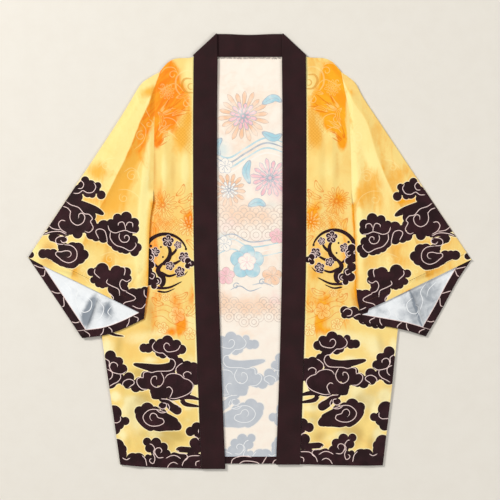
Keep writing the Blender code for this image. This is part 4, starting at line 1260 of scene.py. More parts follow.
def sheet_points(outline, busy, depths=EDGE_ROWS):
    return np.vstack((grid_points(outline, busy), edge_rows(outline, depths)))


def make_front(side):
    shares = np.linspace(0.0, 1.0, 46)
    seam = body_edge(side, "shoulder", "hem", BODY_STEPS, 0.0)
    outer = body_edge(side, "shoulder", "hem", BODY_STEPS)
    outline = join(seam, body_row(side, len(BODY[side]) - 1, shares), outer[::-1],
                   body_row(side, 0.0, shares[::-1]))
    seam_line = seam[::6]

    def top(x, y):
        gap = line_distance(seam_line, x, y)[0]
        lift = creases(FRONT_FOLDS[side], x, y) * smooth(0.0, CREASE_EASE, gap)
        return FRONT_LEVEL + CLOTH + lift - seam_dip(ARMHOLE[side], x, y)

    art = Print(side == "right", FRONT_SHIFT)
    draw_front(art)
    draw_clouds(art, FRONT_EXTRA[side])
    sheet = add_sheet("front_panel_" + side, outline, top, lambda x, y: top(x, y) - CLOTH,
                      sheet_points(outline, everywhere, (0.8, 2.2)), art.shapes, (), PRINT_INKS,
                      INKS[side], FADED, front_tones(side))
    finish(sheet, "printed_cloth", "front_" + side)


PRINT_INKS = ("ground", "cloud", "line", "halo", "curl", "orange", "gold")
BACK_INKS = PRINT_INKS + ("pink", "blue", "slate", "hem", "hem_line")
BACK_NECK = NECK_SEAM - SEAM_GAP   # upper edge of the back, which rises beside the neck
NECK_HALF = 92.0
NECK_CORNER = 99.0
CORNER_RISE = (30.0, 12.0)         # over this width by this height
SHOWN_HALF = 66.0                  # what shows of the back between the bands
SHOWN_TOP = 345.0
HEM_FOLD_HALF = 72.0
BACK_STITCH = 3.5                  # how far the back's stitched lines are from the bands
OVERLOCK_ORDER = (2, 1, 2, 2, 0, 1, 2, 2, 1, 2, 0, 1, 2, 1, 2, 2, 2, 0, 1, 2, 1, 0, 2)
# Sewing of the neck seam: name, how far below the seam, sway, slant and order of the threads
NECK_SEWING = (("neck_seam_stitches", 1.0, 0.1, 0.0, (1, 1, 0, 1, 2)),
               ("neck_overlock", 2.6, 0.35, 50.0, OVERLOCK_ORDER))


def level_line(half, count, y):
    """A line straight across, from left to right."""
    return np.column_stack((np.linspace(-half, half, count), np.full(count, y)))


def make_back():
    shares = np.linspace(0.0, 1.0, 40)
    neck = level_line(NECK_HALF, 60, BACK_NECK)
    hem_x = [body_row(side, len(BODY[side]) - 1, np.array([1.0]))[0, 0] for side in SIDES]
    hem = np.column_stack((np.linspace(hem_x[1], hem_x[0], 150), np.full(150, BACK_HEM)))
    edges = {side: body_edge(side, "shoulder", "hem", BODY_STEPS) for side in SIDES}
    rows = {side: body_row(side, 0.0, shares) for side in SIDES}
    for line in [*edges.values(), *rows.values()]:
        line[:, 1] = np.clip(line[:, 1], BACK_HEM, None)
    for row in rows.values():
        rise = CORNER_RISE[1] * smooth(0.0, CORNER_RISE[0], np.abs(row[:, 0]) - NECK_CORNER)
        row[:, 1] = np.minimum(row[:, 1], BACK_NECK + rise)
    outline = join(edges["left"][::-1], rows["left"][::-1], neck[2:-2], rows["right"],
                   edges["right"], hem)
    art = Print()
    draw_back(art)
    hem_top = BACK_HEM + HEM_WIDTH

    def top(x, y):
        return CLOTH + HEM_STEP * smooth(0.6, -0.2, y - hem_top)

    def shown(x, y):
        return (np.abs(x) < SHOWN_HALF) & (y < SHOWN_TOP)

    fold = level_line(HEM_FOLD_HALF, 60, hem_top)
    hem_inks = {"hem": INK["cloud"], "hem_line": INK["line"]}
    sheet = add_sheet("back_panel", outline, top, lambda x, y: 0.0 * x, grid_points(outline, shown),
                      art.shapes, [fold + (0.0, 0.6), fold - (0.0, 0.2)], BACK_INKS,
                      {**FADED, **hem_inks}, {**INKS["left"], **hem_inks}, tones_of(BACK_WASH))
    finish(sheet, "back_cloth", "back")
    across = np.linspace(-60.0, 60.0, 60)
    for name, drop, sway, slant, order in NECK_SEWING:
        line = np.column_stack((across, NECK_SEAM - drop + sway * np.sin(across / 8.5)))
        sew(name, line, top, [PALE_THREAD, GREY_THREAD, BAND_THREAD], "back_cloth",
                        length=3.2, pitch=1.7, width=0.9, height=0.45, slant=slant, order=order)
    for side, outward in SIDES.items():
        y = np.linspace(hem_top + 1.0, NECK_SEAM - 4.0, 200)
        x = band_edge(side, y, inner=True) - outward * BACK_STITCH
        sew("back_stitches_" + side, np.column_stack((x, y)), top, [PALE_THREAD],
                        "back_cloth", width=0.5, height=0.25)
    hem = level_line(64.0, 2, hem_top - 2.0)
    sew("back_hem_stitches", hem, top, [BAND_THREAD], "back_cloth")


# Drawings

def petal(art, centre, angle, near, far, width, ink):
    """A rounded petal that points away from a flower's centre."""
    way = np.array((np.cos(angle), np.sin(angle)))
    art.ribbon(centre + np.linspace(near, far, 9)[:, None] * way, width, ink, (0.75, 0.25))


def chrysanthemum(art, px, py, radius, petals, line, fill, turn):
    """Two rings of petals round a small centre, each with an outline."""
    centre = art.place((px, py))[0]
    radius = radius * PIXEL
    for ring, (near, far) in enumerate(((0.30, 1.0), (0.12, 0.58))):
        count = petals if ring == 0 else max(7, petals * 2 // 3)
        width = 0.56 * np.pi * far * radius / count
        for k in range(count):
            angle = turn + art.hand * 2.0 * np.pi * (k + 0.4 * ring) / count
            reach = radius * (1.0 + 0.07 * np.sin(2.3 * k + turn)) * far
            petal(art, centre, angle, near * radius, reach, width, line)
            petal(art, centre, angle, (near + 0.10) * radius, reach - 0.9, max(0.35, width - 0.9), fill)
    art.disc(centre, 0.16 * radius, line)
    art.disc(centre, 0.09 * radius, fill)


def blossom(art, px, py, radius, line, fill, turn):
    """A round five-petalled blossom with its stamens."""
    centre = art.place((px, py))[0]
    radius = radius * PIXEL
    angles = turn + 2.0 * np.pi * np.arange(5) / 5.0
    spots = [centre + 0.56 * radius * np.array((np.cos(a), np.sin(a))) for a in angles]
    for spot in spots:
        art.disc(spot, 0.46 * radius, line)
        art.disc(spot, 0.46 * radius - 0.7, fill)
    art.disc(centre, 0.30 * radius, fill)
    for a in angles:
        way = np.array((np.cos(a), np.sin(a)))
        stamen = [centre + reach * radius * way for reach in (0.0, 0.3, 0.55)]
        art.ribbon(stamen, 0.4, line, (0.0, 0.0))
        art.disc(centre + 0.58 * radius * way, 0.8, line)


def leaf(art, points, width, line, fill):
    """A pointed leaf along a line, with its middle vein."""
    spine = curve(art.place(points), STROKE_STEP)
    art.ribbon(spine, 0.5 * width * PIXEL, line, (0.5, 0.6))
    art.ribbon(spine[1:-1], 0.5 * width * PIXEL - 0.8, fill, (0.5, 0.6))
    art.ribbon(spine, 0.4, line, (0.2, 0.4))


def vine(art, points, ink, width, curl=()):
    """A thin stem, with a curl of (x, y, radius, turns, start, hand) if one is given."""
    art.stroke(points, width, ink, (0.2, 0.3))
    if curl:
        x, y, radius, turns, start, hand = curl
        start = 180.0 - start if art.mirror else start
        art.ribbon(spiral(art.place((x, y))[0], radius * PIXEL, turns, start, art.hand * hand),
                   width, ink, (0.1, 0.2))


def waves(art, ring, pitch, line, fill, width, arcs):
    """Overlapping round wave scales inside an outline, row upon row."""
    ring = art.place(ring)
    low, high = ring.min(0), ring.max(0)
    pitch = pitch * PIXEL
    rows = np.arange(high[1], low[1], -0.5 * pitch)
    for k, y in enumerate(rows):
        for x in np.arange(low[0] + 0.5 * pitch * (k % 2), high[0], pitch):
            if inside(ring, np.array(x), np.array(y)):
                for step in range(arcs):
                    radius = 0.5 * pitch * (1.0 - step / arcs)
                    art.disc((x, y), radius + width, line)
                    art.disc((x, y), radius - width, fill)


MEDALLION = (165.5, 256.0, 22.0)   # place and radius
MEDALLION_DISCS = ((186, 249, 2.2), (161, 247, 1.8), (189, 268, 2.2), (151, 246, 2.4), (163, 257, 1.8))
MEDALLION_CLOUDS = [
    ("discs", [148, 252, 4, 150, 257, 4.2, 147, 262, 4.5, 151, 265, 3.6, 148, 271, 4.6, 152, 276,
               4.4, 149, 281, 4.5, 157, 281, 3.8, 154, 286, 3, 153.6, 282.8, 2.4, 188, 261, 3.2,
               191.5, 263.5, 3.2, 187.5, 266, 2.6]),
    ("line", [150, 255, 153, 257, 151, 260, 148.5, 258.5]),
    ("line", [151, 273, 154.5, 275, 152.5, 279, 149, 277]),
    ("line", [157, 279, 159, 282, 156, 284]),
    ("line", [188, 264, 190.5, 262, 191, 265]),
]
BRANCHES = [   # half width, then its places; blossoms by place, radius and turn
    (5.4, [161, 287, 163, 279, 158, 270, 164, 262]), (4.2, [163, 265, 169, 258, 170, 250, 166, 243]),
    (3.0, [165, 262, 173, 264, 183, 259]), (2.6, [160, 272, 169, 276, 179, 273]),
    (2.6, [169, 257, 176, 250, 176, 243]), (2.2, [159, 268, 153, 262, 155, 254]),
    (2.6, [149, 283.5, 157, 287.5, 169, 287.5, 182, 281.5]), (1.7, [157, 291, 166, 292, 175, 288.5]),
    (1.4, [176, 277, 184, 275, 188, 271]),
]
BLOSSOMS = [(168, 241, 6.2, 0.2), (184, 257, 5.6, 0.9), (180, 271.5, 5.4, 0.5), (155, 252, 5.2, 1.4),
            (170, 266, 4.8, 0.0), (178, 245, 4.2, 0.6)]


def draw_medallion(art):
    """A dark brush arc over a flowering plum branch, a design of the builder's own."""
    x, y, radius = MEDALLION
    a = np.radians(np.linspace(15.0, 205.0, 60))
    ring = np.column_stack((x + radius * np.cos(a), y - radius * np.sin(a)))
    art.ribbon(art.place(ring), 3.9, DARK, (0.8, 0.08))
    for width, places in BRANCHES:
        art.stroke(places, width, DARK, (0.1, 0.7), FINE_STEP)
    for bx, by, radius, turn in BLOSSOMS:
        blossom(art, bx, by, radius, CREAM, DARK, turn)
    for bx, by, radius in MEDALLION_DISCS:
        art.disc(art.place((bx, by))[0], radius, DARK)
    draw_clouds(art, MEDALLION_CLOUDS)


def fan(art, x, y, near, far, first, last, count, width, ink):
    """Tapered brush strokes that fan out from a place, between two angles in degrees."""
    for k in range(count):
        angle = np.radians(first + (last - first) * (k + 0.3 * np.sin(2.7 * k)) / max(1, count - 1))
        reach = far * (0.72 + 0.28 * np.sin(1.9 * k + 0.6))
        steps = np.linspace(near, reach, 7)
        bend = angle + 0.35 * np.sin(1.3 * k + 0.4) * (steps / far) ** 2
        places = np.stack((x + steps * np.cos(bend), y - steps * np.sin(bend)), -1)
        art.ribbon(art.place(places), width, ink, (0.3, 0.7))


def draw_front(art):
    """Brush strokes, scrolls, flowers and streams, the medallion and the clouds of a front."""
    # in the orange shoulder wash, over gold wave scales
    waves(art, [176, 128, 182, 118, 198, 110, 198, 152, 190, 153, 178, 142], 3.4, "gold",
          "ground", 0.26, 1)
    fan(art, 160, 118, 12, 34, 5, 62, 12, 0.9, "orange")
    fan(art, 152, 150, 8, 24, 25, 75, 8, 0.9, "orange")
    for width, places in ((2.6, [192, 79, 185, 79, 182, 85, 186, 92, 194, 93]),
                          (1.4, [193, 84, 189.5, 84, 188, 87, 190, 89.5, 193, 89])):
        art.stroke(places, width, "gold", (0.6, 0.6), FINE_STEP)
    fan(art, 158, 116, 5, 20, 8, 66, 9, 0.8, "curl")
    fan(art, 156, 134, 4, 20, 10, 60, 7, 0.7, "curl")
    vine(art, [181, 96, 176, 88, 177, 77, 185, 71, 194, 72], "curl", 1.5)
    chrysanthemum(art, 167, 92, 8, 11, "curl", "ground", 0.4)
    for points, curl in (
            ([160, 74, 166, 68, 174, 68, 178, 74], (173, 75, 5.0, 1.1, 0, 1)),
            ([160, 92, 168, 86, 176, 84, 184, 92], (162, 86, 4.2, 1.0, 200, 1)),
            ([184, 98, 190, 106, 198, 104], (187, 104, 4.4, 1.1, 90, 1)),
            ([158, 124, 165, 118, 174, 120, 180, 128], (163, 124, 4.0, 1.0, 90, -1)),
            ([158, 137, 164, 131, 172, 134, 178, 140], (166, 139, 3.6, 1.0, 60, -1))):
        vine(art, points, "curl", 0.75, curl)
    for points in ([158, 112, 162, 118, 160, 128], [176, 98, 184, 96, 190, 99],
                   [172, 116, 178, 112, 186, 113]):
        leaf(art, points, 4.6, "curl", "ground")
    # below it, in orange
    waves(art, [157, 224, 170, 214, 181, 222, 180, 236, 168, 241, 157, 238], 5.6,
          "orange", "ground", 0.26, 2)
    chrysanthemum(art, 163, 205, 14, 15, "orange", "ground", 0.2)
    chrysanthemum(art, 189, 226, 11, 12, "orange", "curl", 0.9)
    for points in ([176, 196, 182, 191, 184, 184], [178, 202, 186, 200, 192, 193],
                   [180, 212, 187, 211, 194, 206], [152, 222, 156, 230, 154, 238],
                   [186, 240, 192, 244, 195, 251], [188, 292, 182, 297, 174, 297],
                   [186, 316, 193, 311, 196, 303], [152, 297, 157, 303, 164, 304]):
        leaf(art, points, 6.4, "orange", "ground")
    for points, curl in (
            ([172, 210, 180, 206, 186, 214, 188, 220], ()),
            ([193, 214, 190, 204, 194, 198], (190, 199, 3.4, 1.1, 20, 1)),
            ([152, 292, 164, 296, 176, 304, 190, 300], (158, 299, 3.6, 1.1, 100, -1)),
            ([154, 308, 166, 305, 178, 311, 196, 318], (188, 308, 3.6, 1.2, 250, 1)),
            ([150, 313, 164, 310, 176, 317, 194, 324], ()),
            ([150, 318, 162, 316, 172, 323, 190, 330], (158, 324, 4.0, 1.2, 90, 1))):
        vine(art, points, "orange", 0.5, curl)
    for x, y, radius, turn in ((177, 315, 8.5, 0.7), (163, 328, 6.0, 0.1), (190, 334, 6.4, 0.4),
                               (166, 297, 4.6, 0.4)):
        blossom(art, x, y, radius, "orange", "curl", turn)
    draw_medallion(art)
    draw_clouds(art, FRONT_CLOUDS)


def draw_sleeve(art):
    """Pale scrolls and the clouds of a sleeve."""
    for points, curl in (
            ([140, 122, 146, 130, 143, 142, 134, 150], (141, 136, 5.4, 1.3, 60, 1)),
            ([150, 96, 146, 108, 150, 118], (149, 124, 4.4, 1.1, 90, -1)),
            ([124, 172, 132, 168, 140, 174], (132, 176, 6.0, 1.3, 40, 1)),
            ([118, 190, 128, 190, 138, 196, 142, 206], (124, 198, 5.2, 1.2, 120, 1)),
            ([142, 160, 138, 172, 144, 186], (146, 178, 4.2, 1.1, 200, 1)),
            ([98, 168, 106, 160, 116, 158], (106, 166, 4.4, 1.2, 80, 1)),
            ([100, 256, 112, 252, 120, 258], (110, 259, 4.2, 1.2, 90, 1)),
            ([88, 268, 84, 276, 90, 284], (83, 270, 3.4, 1.1, 300, 1))):
        vine(art, points, "curl", 0.8, curl)
    draw_clouds(art, SLEEVE_CLOUDS)


def draw_back(art):
    """Faded flowers, wave scales and streams, and the clouds of the print's lower part."""
    waves(art, [214, 205, 286, 205, 286, 232, 262, 240, 236, 240, 214, 230], 12.0,
          "gold", "ground", 0.42, 2)
    waves(art, [214, 292, 230, 300, 252, 304, 286, 296, 286, 316, 250, 324, 214, 314], 10.0,
          "gold", "ground", 0.4, 2)
    for rise in range(4):
        y = 150 + 5 * rise
        art.stroke([212, y, 228, y + 8, 246, y - 2, 266, y - 12, 288, y - 6], 1.5,
                   ("blue", "slate", "blue", "curl")[rise], (0.2, 0.3))
        art.stroke([212, y + 92, 232, y + 84, 252, y + 92, 288, y + 86], 1.1,
                   ("slate", "blue", "curl", "blue")[rise], (0.3, 0.3))
    for flower in ((243, 116, 25, 18, "gold", "orange", 0.1), (243, 116, 14, 12, "slate", "pink", 0.3),
                   (270, 178, 19, 15, "slate", "pink", 0.5), (229, 190, 17, 14, "gold", "orange", 0.8),
                   (229, 190, 9, 10, "slate", "curl", 0.2)):
        chrysanthemum(art, *flower)
    for points in ([262, 132, 274, 138, 282, 134], [222, 138, 216, 146, 220, 156],
                   [250, 160, 246, 172, 250, 184], [262, 104, 274, 98, 282, 102],
                   [248, 206, 258, 202, 266, 206]):
        leaf(art, points, 9.0, "slate", "blue")
    for x, y, radius, line, fill in ((247, 262, 17, "slate", "blue"), (226, 276, 9, "gold", "pink"),
                                     (272, 276, 10, "gold", "orange"), (225, 166, 8, "slate", "curl"),
                                     (277, 236, 8, "gold", "pink"), (224, 244, 8, "slate", "curl")):
        blossom(art, x, y, radius, line, fill, 0.3)
    blossom(art, 247, 262, 9, "pink", "curl", 0.3)
    for points, curl in (
            ([230, 290, 240, 286, 250, 291, 262, 287], (236, 286, 3.6, 1.2, 20, 1)),
            ([252, 285, 264, 283, 274, 287], (262, 282, 3.4, 1.2, 40, 1))):
        vine(art, points, "slate", 0.9, curl)
    clouds = Print(True, BACK_SHIFT)
    draw_clouds(clouds, FRONT_CLOUDS)
    art.shapes += clouds.shapes
    art.fill([(-HEM_FOLD_HALF, BACK_HEM - 1.0), (HEM_FOLD_HALF, BACK_HEM - 1.0),
              (HEM_FOLD_HALF, BACK_HEM + HEM_WIDTH), (-HEM_FOLD_HALF, BACK_HEM + HEM_WIDTH)], "hem")
    for vein in ([231, 465, 233, 459, 242, 456, 252, 457],
                 [238, 465, 244, 461, 256, 462, 262, 466], [262, 464, 267, 456],
                 [272, 465, 275, 460, 283, 459], [222, 458, 225, 464]):
        art.stroke(vein, LINE, "hem_line", (0.1, 0.1), STROKE_STEP)


def draw_lining(side):
    """The print of a sleeve's under sheet: curls on the lining and the dark turned hem."""
    cut, outward = SLEEVES[side], SIDES[side]
    art = Print(side == "right", SLEEVE_SHIFT)
    for points in LINING_CURLS:
        art.stroke(points, 0.6, "curl", (0.3, 0.4), STROKE_STEP)
    for name, veins in CUFF_VEINS.items():
        line = curve(cut[name])
        run = directions(line)
        inward = -outward * to_left(run)
        row = np.vstack((line[0] - HEM_OVERRUN * run[0], line, line[-1] + HEM_OVERRUN * run[-1]))
        deep = np.vstack((inward[0], inward, inward[-1])) * CUFF_HEM
        art.fill(np.vstack((row - 0.1 * deep, (row + deep)[::-1])), "cloud")
        art.ribbon((row + 0.98 * deep)[::3], 0.8 * LINE, "line", (0.1, 0.1))
        for low, high in veins:
            places = [line[int(share * (len(line) - 1))] + depth * CUFF_HEM * inward[0]
                      for share, depth in ((low, 0.05), (0.7 * low + 0.3 * high + 0.02, 0.4),
                                           (high, 0.92))]
            art.ribbon(curve(places, VEIN_STEP), LINE, "line", (0.1, 0.1))
    if side == "right":
        art.fill(CUFF_CORNER, "cloud")
    return art


def make_sleeve(side):
    cut = SLEEVES[side]
    outward = SIDES[side]
    outer, inner, cuff = (curve(cut[name]) for name in ("outer", "inner", "cuff_upper"))
    short_inner = curve(cut["inner"], share=cut["inner_share"])
    armhole = body_edge(side, "shoulder", "underarm", 120)
    armhole[:, 0] += outward * ARMHOLE_GAP
    mouth = join(curve(cut["cuff_tip"]), curve(cut["cuff_under"]))
    folds = [line[::3] for line in (outer, inner)]
    radius = 0.5 * TUBE_HEIGHT
    chord = cuff[-1] - cuff[0]
    away = np.array((chord[1], -chord[0])) / np.hypot(*chord) * -outward

    def fold_gap(x, y):
        return np.minimum(*(line_distance(line, x, y)[0] for line in folds))

    def fold_drop(gap):
        return radius - np.sqrt(radius ** 2 - (radius - np.clip(gap, 0.0, radius)) ** 2)

    def beyond_cuff(x, y):
        return (x - cuff[0, 0]) * away[0] + (y - cuff[0, 1]) * away[1]

    def top(x, y, drop=1.0):
        gap = fold_gap(x, y)
        mouth_gap = line_distance(cuff[::3], x, y)[0]
        lift = MOUTH_LIFT[side] * smooth(0.0, MOUTH_DEPTH, MOUTH_DEPTH - mouth_gap)
        lift = lift * smooth(0.0, MOUTH_EASE, gap)
        ground = sleeve_ground(side, x, y)
        # toward the armhole the sleeve comes down to the level of the front
        edge = line_distance(ARMHOLE[side], x, y)[0]
        lift = lift + (creases(SLEEVE_CREASES[side], x, y) * smooth(0.0, CREASE_EASE, gap)
                       * smooth(0.0, SEAM_EASE, edge))
        settled = (1.0 - smooth(0.0, SETTLE_REACH, edge)) * (1.0 - smooth(0.0, SETTLE_GROUND, ground))
        lift = lift - (TUBE_HEIGHT - FRONT_LEVEL - CLOTH) * settled - seam_dip(ARMHOLE[side], x, y)
        return ground + TUBE_HEIGHT + lift - drop * fold_drop(gap)

    def upper_under(x, y):
        return np.maximum(top(x, y) - CLOTH, sleeve_ground(side, x, y) + radius + SLIVER)

    outline = outer_ring = join(outer, cuff, short_inner[::-1], armhole[::-1])
    art = Print(side == "right", SLEEVE_SHIFT)
    draw_sleeve(art)
    ridge = curve(SLEEVE_CREASES[side][0][-1], RIDGE_STEP)[2:-2]
    upper = add_sheet("sleeve_top_" + side, outline, top, upper_under,
                      sheet_points(outline, everywhere), art.shapes,
                      [ridge + (shift, 0.0) for shift in (-1.6, 0.0, 1.6)], PRINT_INKS, INKS[side],
                      FADED, sleeve_tones(side), lambda x, y: top(x, y, FOLD_SHARE))

    def hem_level(x, y):
        gap = line_distance(mouth[::2], x, y)[0]
        return HEM_STEP * smooth(CUFF_HEM + 0.6, CUFF_HEM - 0.2, gap)

    def lower_under(x, y):
        crease = creases(CUFF_CREASES[side], x, y) * smooth(*LINING_CREASES, beyond_cuff(x, y))
        return sleeve_ground(side, x, y) + fold_drop(fold_gap(x, y)) + crease

    def lower_top(x, y):
        low = lower_under(x, y)
        limit = sleeve_ground(side, x, y) + radius - SLIVER
        near_fold = fold_gap(x, y) < radius
        return np.where(near_fold, np.maximum(np.minimum(low + CLOTH, limit), low + 0.02),
                        low + CLOTH + hem_level(x, y))

    outline = join(outer, mouth, inner[::-1], armhole[::-1])
    points = sheet_points(outline, lambda x, y: beyond_cuff(x, y) > LINING_START)
    fold = curve(CUFF_CREASES[side][0][-1], RIDGE_STEP)
    fold = fold[inside(outline, *fold.T)][2:-3]
    lower = add_sheet("sleeve_under_" + side, outline, lower_top, lower_under, points,
                      draw_lining(side).shapes,
                      [fold + (shift, 0.0) for shift in (-1.2, 0.4, 2.0, 4.0)],
                      ("ground", "cloud", "line", "curl"),
                      {**INK, "ground": INK["lining"], "curl": INK["lining_line"]}, INKS[side],
                      tones_of((LINING_SHADE[side],) * 3))
    finish(upper, "printed_cloth", "sleeve_" + side)
    finish(lower, "printed_cloth", "sleeve_" + side)
    hem = cuff - outward * CUFF_HEM * to_left(directions(cuff))
    kept = inside(outer_ring, *hem.T) & (fold_gap(*hem.T) > 4.0)
    sewn = sew("cuff_stitches_" + side, hem[kept], top, [GOLD_THREAD], "printed_cloth")


# Soft folds of the band
BAND_FOLDS = [
    (ROUND, 0.7, 8, 12, 0.35, 0.3, [84, 336, 90, 290, 88, 225]),
    (ROUND, -0.5, 7, 6, 0.35, 0.35, [72, 320, 70, 250, 76, 190]),
    (ROUND, 0.6, 9, 7, 0.3, 0.3, [-30, 382, -25, 350, -24, 336]),
    (ROUND, -0.5, 6, 5, 0.3, 0.3, [-10, 380, -4, 340]),
    (ROUND, 0.5, 8, 10, 0.3, 0.3, [22, 378, 18, 342]),
    (ROUND, 0.5, 10, 7, 0.35, 0.35, [-84, 280, -80, 180, -84, 70]),
    (ROUND, 0.5, 9, 9, 0.35, 0.35, [-72, 20, -78, -90, -70, -180]),
    (ROUND, 0.4, 8, 10, 0.35, 0.35, [84, 60, 76, -40, 78, -160]),
    (ROUND, 0.5, 8, 8, 0.35, 0.2, [66, -220, 72, -300, 64, -360]),
    (ROUND, 0.4, 8, 8, 0.35, 0.2, [-60, -240, -68, -310, -62, -370]),
]
BAND_STITCH = 4.0      # how far the sewn lines are from the band's edges
BAND_ROWS = 150        # rows of points up each side, and in a turn's flat part, fold and neck
FLAT_ROWS = 12
FOLD_ROWS = 9
NECK_ROWS = 40
INNER_FOLD = 0.4       # how far the fold's inner end stands out, as a share of its outer end


def band_ground(y):
    """Height of what the band lies on, which rises where it goes over its own neck piece."""
    rise = smooth(NECK_SEAM - CREASE_RISE[0], NECK_SEAM - CREASE_RISE[1], y)
    return FRONT_LEVEL + rise * (NECK_LEVEL - FRONT_LEVEL)


def band_rows():
    """Rows across the band from the left hem, round the neck, to the right hem."""
    up = np.array((0.0, 0.0, 1.0))
    middle = 0.5 * BAND_CLOTH
    turn_radius = 0.5 * NECK_LEVEL
    runs = {}
    reach = CREASE_X[1] - CREASE_LEAD
    for side, outward in SIDES.items():
        foot = BAND_MIDDLE[side]["hem"][0]
        run = []
        for y in np.linspace(foot, NECK_SEAM - CREASE_LEAD, BAND_ROWS):
            run.append((np.array((band_edge(side, y), y)),
                        np.array((band_edge(side, y, inner=True), y)), band_ground(y) + middle, up))
        outer_end = np.array((outward * CREASE_X[0], CREASE_START))
        inner_end = np.array((outward * CREASE_X[1], NECK_TOP))
        start = run[-1]
        for share in np.linspace(0.0, 1.0, FLAT_ROWS)[1:]:
            run.append((start[0] + share * (outer_end - start[0]),
                        start[1] + share * (inner_end - start[1]), start[2], up))
        away = np.array((outer_end[1] - inner_end[1], inner_end[0] - outer_end[0]))
        away = away / np.hypot(*away) * np.sign(away[1])
        for turn in np.linspace(0.5 * np.pi, -0.5 * np.pi, FOLD_ROWS)[1:]:
            shift = turn_radius * np.cos(turn) * away
            run.append((outer_end + shift, inner_end + INNER_FOLD * shift,
                        middle + turn_radius * (1.0 + np.sin(turn)),
                        np.append(away * np.cos(turn), np.sin(turn))))
        flat_x = outward * reach
        for share in np.linspace(0.0, 1.0, FLAT_ROWS)[1:]:
            run.append((outer_end + share * (np.array((flat_x, NECK_SEAM)) - outer_end),
                        inner_end + share * (np.array((flat_x, NECK_TOP)) - inner_end), middle, -up))
        runs[side] = run
    neck = []
    for x in np.linspace(-reach, reach, NECK_ROWS)[1:-1]:
        dip = NECK_DIP * np.cos(0.5 * np.pi * x / reach) ** 2
        neck.append((np.array((x, NECK_SEAM)), np.array((x, NECK_TOP - dip)), middle, -up))
    return runs["left"] + neck + runs["right"][::-1]


# Half a ring round the band: how far in from its edge, and how high as a share of half the cloth
EDGE_LEVEL = 0.45
BAND_PROFILE = [(0.0, -EDGE_LEVEL), (0.0, EDGE_LEVEL), (0.35, 0.85), (1.0, 1.0), (3.2, 0.99),
                (BAND_STITCH, 0.94), (4.8, 0.99), (12.0, 1.0)]
# Whether each point of a ring is on the upper face (1), the edge (0) or the lower face (-1)
PROFILE_SIDE = np.array([0] + [1] * 13 + [0, 0] + [-1] * 5 + [0])


def make_band():
    half = 0.5 * BAND_CLOTH
    rows = band_rows()
    rings = []
    for outer, inner, height, facing in rows:
        across = np.append(inner - outer, 0.0)
        width = np.linalg.norm(across)
        across = across / width
        start = np.append(outer, height)
        far = [(width - offset, level) for offset, level in BAND_PROFILE[::-1]]
        below = [(offset, -1.0) for offset in (width - 1.0, 0.75 * width, 0.5 * width, 0.25 * width, 1.0)]
        ring = BAND_PROFILE[1:] + [(0.5 * width, 1.0)] + far + below + BAND_PROFILE[:1]
        rings.append([start + across * offset + facing * level * half for offset, level in ring])
    rings = np.array(rings)
    lift = creases(BAND_FOLDS, rings[..., 0], rings[..., 1])
    shown = np.array([facing[2] for _, _, _, facing in rows])[:, None] * PROFILE_SIDE
    rings[..., 2] += lift * (shown > 0.5)
    count = rings.shape[1]
    faces = [(i + j, i + (j + 1) % count, i + count + (j + 1) % count, i + count + j)
             for i in range(0, (len(rings) - 1) * count, count) for j in range(count)]
    faces.append(tuple(range(count))[::-1])
    faces.append(tuple((len(rings) - 1) * count + j for j in range(count)))
    band = add_mesh("collar_band_cloth", rings.reshape(-1, 3), faces, [BAND])
    band.data.set_sharp_from_angle(angle=np.radians(50.0))
    finish(band, "band_cloth", "collar_band")

    def level(x, y):
        return band_ground(y) + 0.97 * BAND_CLOTH + creases(BAND_FOLDS, x, y)

    for side, outward in SIDES.items():
        y = np.linspace(BAND_MIDDLE[side]["hem"][0] + 2.0, NECK_SEAM - CREASE_LEAD, 240)
        for edge, x in (("outer", band_edge(side, y) - outward * BAND_STITCH),
                        ("inner", band_edge(side, y, inner=True) + outward * BAND_STITCH)):
            sew("band_stitches_" + edge + "_" + side, np.column_stack((x, y)), level,
                            [BAND_THREAD], "band_cloth", width=0.5, height=0.25)


# Studio

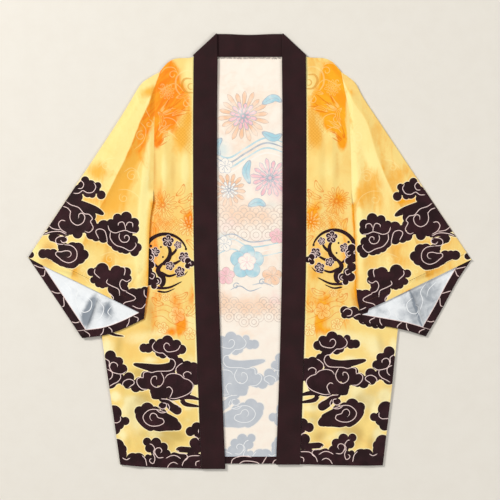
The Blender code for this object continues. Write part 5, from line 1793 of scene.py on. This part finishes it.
CAMERA_HEIGHT = 3.0    # metres above the cloth
PICTURE = 500          # pixels across the photograph
SENSOR = 36.0
FLOOR_HALF = 3000.0
FLOOR_DROP = 0.4       # how far the floor is below the cloth
# Name, place and size in metres, power and colour
LIGHTS = [("key", (-3.0, 2.3, 2.5), 1.25, 176.0, (1.0, 0.98, 0.94)),
          ("fill", (2.8, -1.4, 3.0), 2.0, 54.0, (1.0, 0.99, 0.97))]
WORLD_TINT = (1.0, 0.98, 0.95, 1.0)
WORLD_LIGHT = 0.4


def make_studio():
    corners = [(x * FLOOR_HALF, y * FLOOR_HALF, -FLOOR_DROP)
               for x, y in ((-1, -1), (1, -1), (1, 1), (-1, 1))]
    floor = add_mesh("floor", corners, [(0, 1, 2, 3)],
                     [plain("floor_paper", "e6e2da", "e1dcd3", 2.0, 0.85, 0.4, sheen=0.0)])
    view = bpy.data.cameras.new("camera")
    view.sensor_width = SENSOR
    view.lens = SENSOR * CAMERA_HEIGHT / (PICTURE * PIXEL * MM)
    camera = bpy.data.objects.new("camera", view)
    camera.location = ((0.5 * PICTURE - PIXEL_CENTRE[0]) * PIXEL * MM,
                       (PIXEL_CENTRE[1] - 0.5 * PICTURE) * PIXEL * MM, CAMERA_HEIGHT)
    bpy.context.scene.collection.objects.link(camera)
    bpy.context.scene.camera = camera
    for name, place, size, power, tint in LIGHTS:
        lamp = bpy.data.lights.new(name, "AREA")
        lamp.shape = "DISK"
        lamp.size = size
        lamp.energy = power
        lamp.color = tint
        light = bpy.data.objects.new(name, lamp)
        light.location = place
        light.rotation_euler = (-Vector(place)).to_track_quat("-Z", "Y").to_euler()
        bpy.context.scene.collection.objects.link(light)
    world = bpy.data.worlds.new("studio")
    world.use_nodes = True
    sky = world.node_tree.nodes["Background"].inputs
    sky["Color"].default_value = WORLD_TINT
    sky["Strength"].default_value = WORLD_LIGHT
    bpy.context.scene.world = world
    bpy.context.scene.view_settings.view_transform = "Standard"


make_studio()
make_back()
for side in SIDES:
    make_front(side)
    make_sleeve(side)
make_band()
